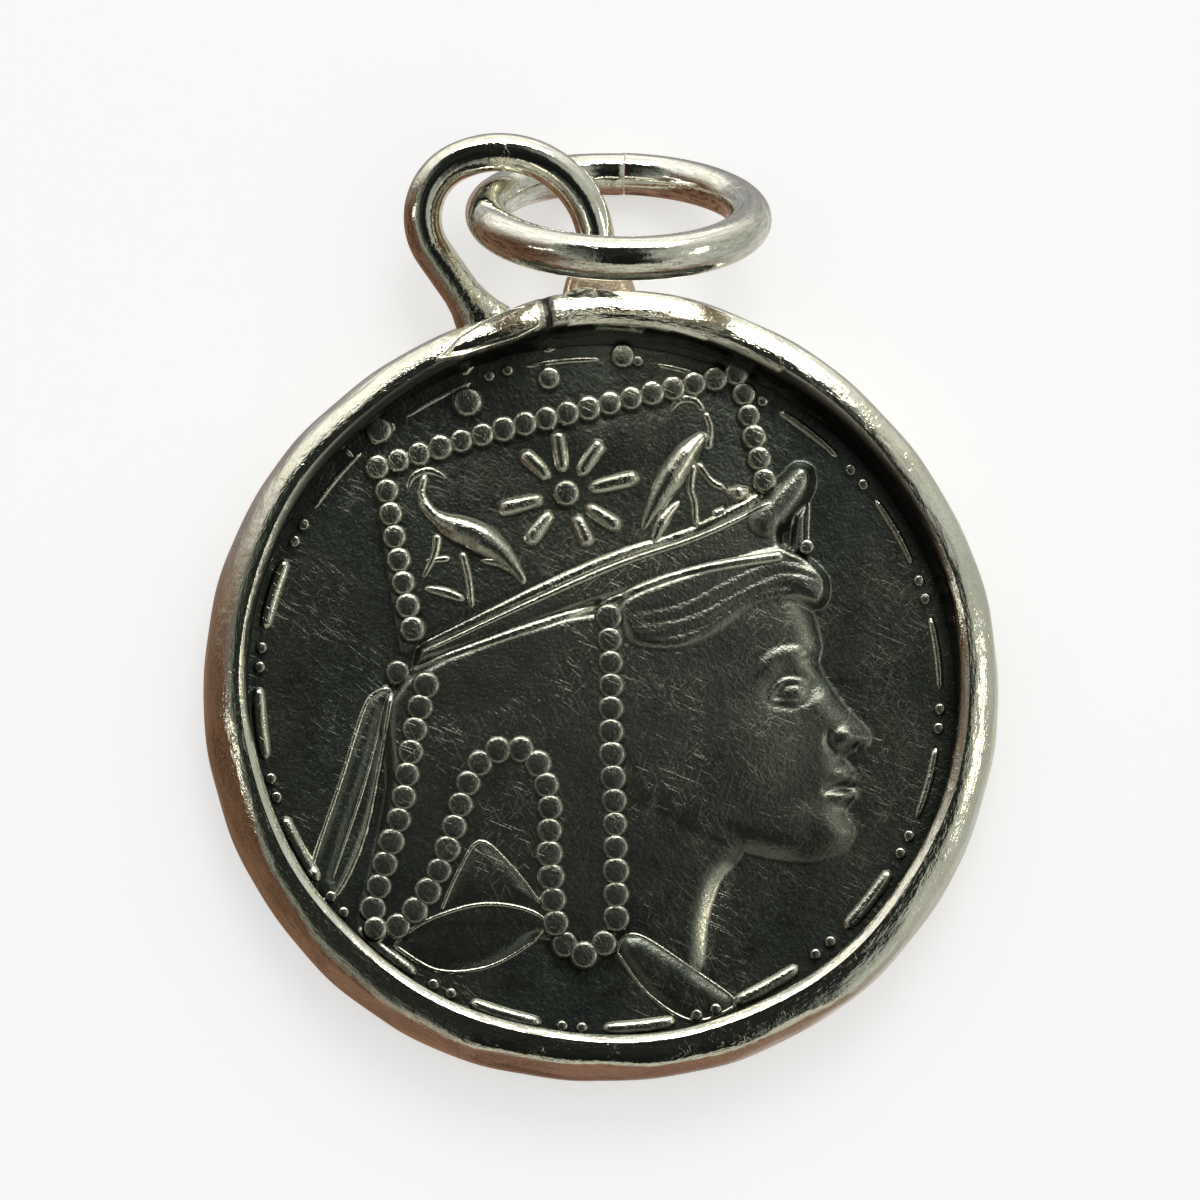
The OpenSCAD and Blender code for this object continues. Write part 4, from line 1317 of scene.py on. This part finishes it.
class PENDANT_OT_stage(bpy.types.Operator):
    """Set the stage: a pale floor, soft lights, the world that the silver mirrors, and the camera"""
    bl_idname = "pendant.stage"
    bl_label = "Set Stage"

    # The camera looks down from almost straight above, as in the photograph. Its tilt and the way it
    # tilts are in degrees, and its target and distance in millimetres.
    TILT = 12.5
    TILT_TOWARDS = 12.0
    PICTURE_TURN = 10.0
    TARGET = (0.376, 2.235, 1.791)
    DISTANCE = 110.0
    PIXELS_PER_MM = 39.5
    PICTURE_W = 1200
    SENSOR = 36.0
    LIGHTS_FAR = 600.0
    FLOOR_W = 2400.0
    FLOOR_GLOW = 0.45
    FLOOR_LIGHT = 0.54
    MIRROR_LIGHT = 1.75

    def execute(self, context):
        self.floor(context)
        self.camera(context)
        self.lights(context)
        self.world(context)
        context.scene.view_settings.view_transform = "Standard"
        context.scene.view_settings.look = "None"
        return {"FINISHED"}

    def picture_axes(self):
        """The picture's right, up and towards-the-viewer directions."""
        up = np.array([*unit(90 - self.PICTURE_TURN), 0.0])
        right = np.array([*unit(-self.PICTURE_TURN), 0.0])
        c, s = unit(self.TILT_TOWARDS)
        lean = -(up * c + right * s)
        upright, level = unit(self.TILT)
        back = lean * level + np.array([0, 0, upright])
        side = np.cross(up, back)
        side /= np.linalg.norm(side)
        return Vector(side), Vector(np.cross(back, side)), Vector(back)

    def camera(self, context):
        side, up, back = self.picture_axes()
        data = bpy.data.cameras.new("camera")
        data.sensor_width = self.SENSOR
        data.lens = self.PIXELS_PER_MM * self.DISTANCE / self.PICTURE_W * self.SENSOR
        data.clip_start = 0.001
        data.clip_end = 10.0
        camera = bpy.data.objects.new("camera", data)
        turn = Matrix((side, up, back)).transposed().to_4x4()
        spot = (Vector(self.TARGET) + back * self.DISTANCE) * MM
        camera.matrix_world = Matrix.Translation(spot) @ turn
        context.scene.collection.objects.link(camera)
        context.scene.camera = camera

    def floor(self, context):
        clear_selection()
        bpy.ops.mesh.primitive_plane_add(size=self.FLOOR_W * MM)
        floor = context.object
        floor.name = floor.data.name = "floor"
        material = bpy.data.materials.new("floor")
        material.use_nodes = True
        shader = material.node_tree.nodes["Principled BSDF"]
        shader.inputs["Base Color"].default_value = (*context.scene.pendant_stage.floor, 1)
        shader.inputs["Roughness"].default_value = 1.0
        shader.inputs["Specular IOR Level"].default_value = 0.0
        shader.inputs["Emission Color"].default_value = (1, 1, 1, 1)
        shader.inputs["Emission Strength"].default_value = self.FLOOR_GLOW
        floor.data.materials.append(material)
        floor.visible_glossy = False

    def lights(self, context):
        """Soft light for the floor, and bright panels that only the metal mirrors."""
        cream = (1.0, 0.98, 0.88)
        warm = (1.0, 0.93, 0.74)
        # Name, direction and height in degrees, width and height in millimetres, radiance, colour, and
        # whether it lights the floor.
        for name, towards, height, wide, tall, glow, colour, lights_floor in (
                ("key", 70, 56, 260, 260, 1.9, (1, 1, 1), True),
                ("top_panel", 74, 36, 460, 200, 8.0, cream, False),
                ("right_panel", -4, 34, 220, 90, 4.0, warm, False),
                ("left_panel", 168, 34, 60, 200, 1.5, cream, False)):
            data = bpy.data.lights.new(name, "AREA")
            data.shape = "RECTANGLE"
            data.size, data.size_y = wide * MM, tall * MM
            data.energy = glow * math.pi * data.size * data.size_y
            data.color = colour
            light = bpy.data.objects.new(name, data)
            light.visible_diffuse = lights_floor
            light.visible_glossy = not lights_floor
            level, upright = unit(height)
            way = Vector((*(unit(towards) * level), upright))
            light.location = way * self.LIGHTS_FAR * MM
            light.rotation_euler = way.to_track_quat("Z", "Y").to_euler()
            context.scene.collection.objects.link(light)

    # What the silver mirrors on each side of the picture, from straight below to straight above:
    # place on the ramp and colour.
    MIRRORED = {
        "right": [(0.0, (0.43, 0.39, 0.36)), (0.1, (0.43, 0.44, 0.39)), (0.35, (0.29, 0.3, 0.27)),
                  (0.8, (0.36, 0.37, 0.32)), (0.955, (0.3, 0.31, 0.27)), (0.98, (0.01, 0.01, 0.01))],
        "top": [(0.0, (0.3, 0.19, 0.14)), (0.12, (0.22, 0.22, 0.23)), (0.3, (0.32, 0.32, 0.31)),
                (0.4, (0.85, 0.85, 0.77)), (0.79, (0.85, 0.85, 0.77)), (0.85, (0.01, 0.012, 0.01))],
        "left": [(0.0, (0.16, 0.095, 0.06)), (0.3, (0.11, 0.06, 0.037)), (0.6, (0.075, 0.04, 0.024)),
                 (0.8, (0.1, 0.07, 0.05)), (0.86, (0.2, 0.22, 0.18)), (0.98, (0.015, 0.015, 0.013))],
        "bottom": [(0.0, (0.16, 0.088, 0.062)), (0.3, (0.18, 0.105, 0.075)), (0.44, (0.16, 0.088, 0.062)),
                   (0.5, (0.36, 0.36, 0.3)), (0.8, (0.36, 0.36, 0.3)), (0.86, (0.004, 0.005, 0.004))]}
    # The walls stand this much further round than the picture's own sides, in degrees.
    WALLS_TURN = 8.0
    # How evenly they are lit: the right and top ones calmly, the left and bottom ones in blotches.
    CALM = [(0.35, 0.55), (0.65, 1.0)]
    BLOTCHED = [(0.4, 0.25), (0.48, 0.85), (0.62, 1.0)]

    def world(self, context):
        """White for the floor; for the silver, a dark ceiling with a different wall on each side."""
        world = bpy.data.worlds.new("studio")
        context.scene.world = world
        world.use_nodes = True
        tree = world.node_tree
        background = tree.nodes["Background"]
        background.inputs["Strength"].default_value = self.FLOOR_LIGHT
        turn = node(tree, "ShaderNodeMapping",
                    Rotation=(0, 0, math.radians(self.PICTURE_TURN - self.WALLS_TURN)))
        tree.links.new(tree.nodes.new("ShaderNodeTexCoord").outputs["Generated"], turn.inputs["Vector"])
        split = tree.nodes.new("ShaderNodeSeparateXYZ")
        tree.links.new(turn.outputs[0], split.inputs[0])
        x, y, z = split.outputs
        height = times(tree, plus(tree, z, 1.0), 0.5)
        # The floor's light comes mostly from high up, so its shadows stay short.
        tree.links.new(ramp(tree, height, [(0.5, 0.15), (0.8, 1.0)]), background.inputs["Color"])
        # The walls share the way round by the fourth powers of a direction's two parts.
        x4, y4 = (math_node(tree, "POWER", axis, 4.0) for axis in (x, y))
        flat = math_node(tree, "MAXIMUM", plus(tree, x4, y4), 1e-8)
        clutter = node(tree, "ShaderNodeTexNoise", Scale=8.0, Detail=4.0)
        tree.links.new(turn.outputs[0], clutter.inputs["Vector"])
        calm, blotched = (ramp(tree, clutter.outputs["Fac"], stops)
                          for stops in (self.CALM, self.BLOTCHED))
        total = None
        for side, axis, sign, lit in (("right", x, 1.0, calm), ("top", y, 1.0, calm),
                                      ("left", x, -1.0, blotched), ("bottom", y, -1.0, blotched)):
            toward = math_node(tree, "MAXIMUM", times(tree, axis, sign), 0.0)
            share = math_node(tree, "DIVIDE", math_node(tree, "POWER", toward, 4.0), flat)
            wall = node(tree, "ShaderNodeVectorMath", operation="SCALE")
            tree.links.new(ramp(tree, height, self.MIRRORED[side]), wall.inputs[0])
            tree.links.new(times(tree, share, lit), wall.inputs["Scale"])
            if total is None:
                total = wall.outputs[0]
            else:
                add = node(tree, "ShaderNodeVectorMath", operation="ADD")
                tree.links.new(total, add.inputs[0])
                tree.links.new(wall.outputs[0], add.inputs[1])
                total = add.outputs[0]
        mirrored = tree.nodes.new("ShaderNodeBackground")
        tree.links.new(total, mirrored.inputs["Color"])
        mirrored.inputs["Strength"].default_value = self.MIRROR_LIGHT
        rays = tree.nodes.new("ShaderNodeLightPath")
        choose = tree.nodes.new("ShaderNodeMixShader")
        tree.links.new(rays.outputs["Is Glossy Ray"], choose.inputs["Fac"])
        tree.links.new(background.outputs[0], choose.inputs[1])
        tree.links.new(mirrored.outputs[0], choose.inputs[2])
        tree.links.new(choose.outputs[0], tree.nodes["World Output"].inputs["Surface"])


class PENDANT_PT_panel(bpy.types.Panel):
    """The pendant's steps, its sizes and its colours, in the 3D view's sidebar"""
    bl_idname = "PENDANT_PT_panel"
    bl_label = "Coin Pendant"
    bl_space_type = "VIEW_3D"
    bl_region_type = "UI"
    bl_category = "Pendant"

    def draw(self, context):
        for kind in OPERATORS:
            self.layout.operator(kind.bl_idname)
        for name, kind in SETTINGS.items():
            box = self.layout.box()
            for label in kind.__annotations__:
                box.prop(getattr(context.scene, name), label)


SETTINGS = {"pendant_coin": CoinSettings, "pendant_bezel": BezelSettings, "pendant_loop": LoopSettings,
            "pendant_ring": RingSettings, "pendant_stage": StageSettings}
OPERATORS = (PENDANT_OT_coin, PENDANT_OT_beads, PENDANT_OT_lines, PENDANT_OT_bezel, PENDANT_OT_loop,
             PENDANT_OT_solder, PENDANT_OT_jump_ring, PENDANT_OT_stage)
CLASSES = (*SETTINGS.values(), *OPERATORS, PENDANT_PT_panel)


def register():
    for kind in CLASSES:
        bpy.utils.register_class(kind)
    for name, kind in SETTINGS.items():
        setattr(bpy.types.Scene, name, bpy.props.PointerProperty(type=kind))


def unregister():
    for name in SETTINGS:
        delattr(bpy.types.Scene, name)
    for kind in reversed(CLASSES):
        bpy.utils.unregister_class(kind)


def main():
    register()
    bpy.ops.pendant.coin()
    bpy.ops.pendant.beads()
    bpy.ops.pendant.lines()
    bpy.ops.pendant.bezel()
    bpy.ops.pendant.loop()
    bpy.ops.pendant.solder()
    bpy.ops.pendant.jump_ring()
    bpy.ops.pendant.stage()


if __name__ == "__main__":
    main()
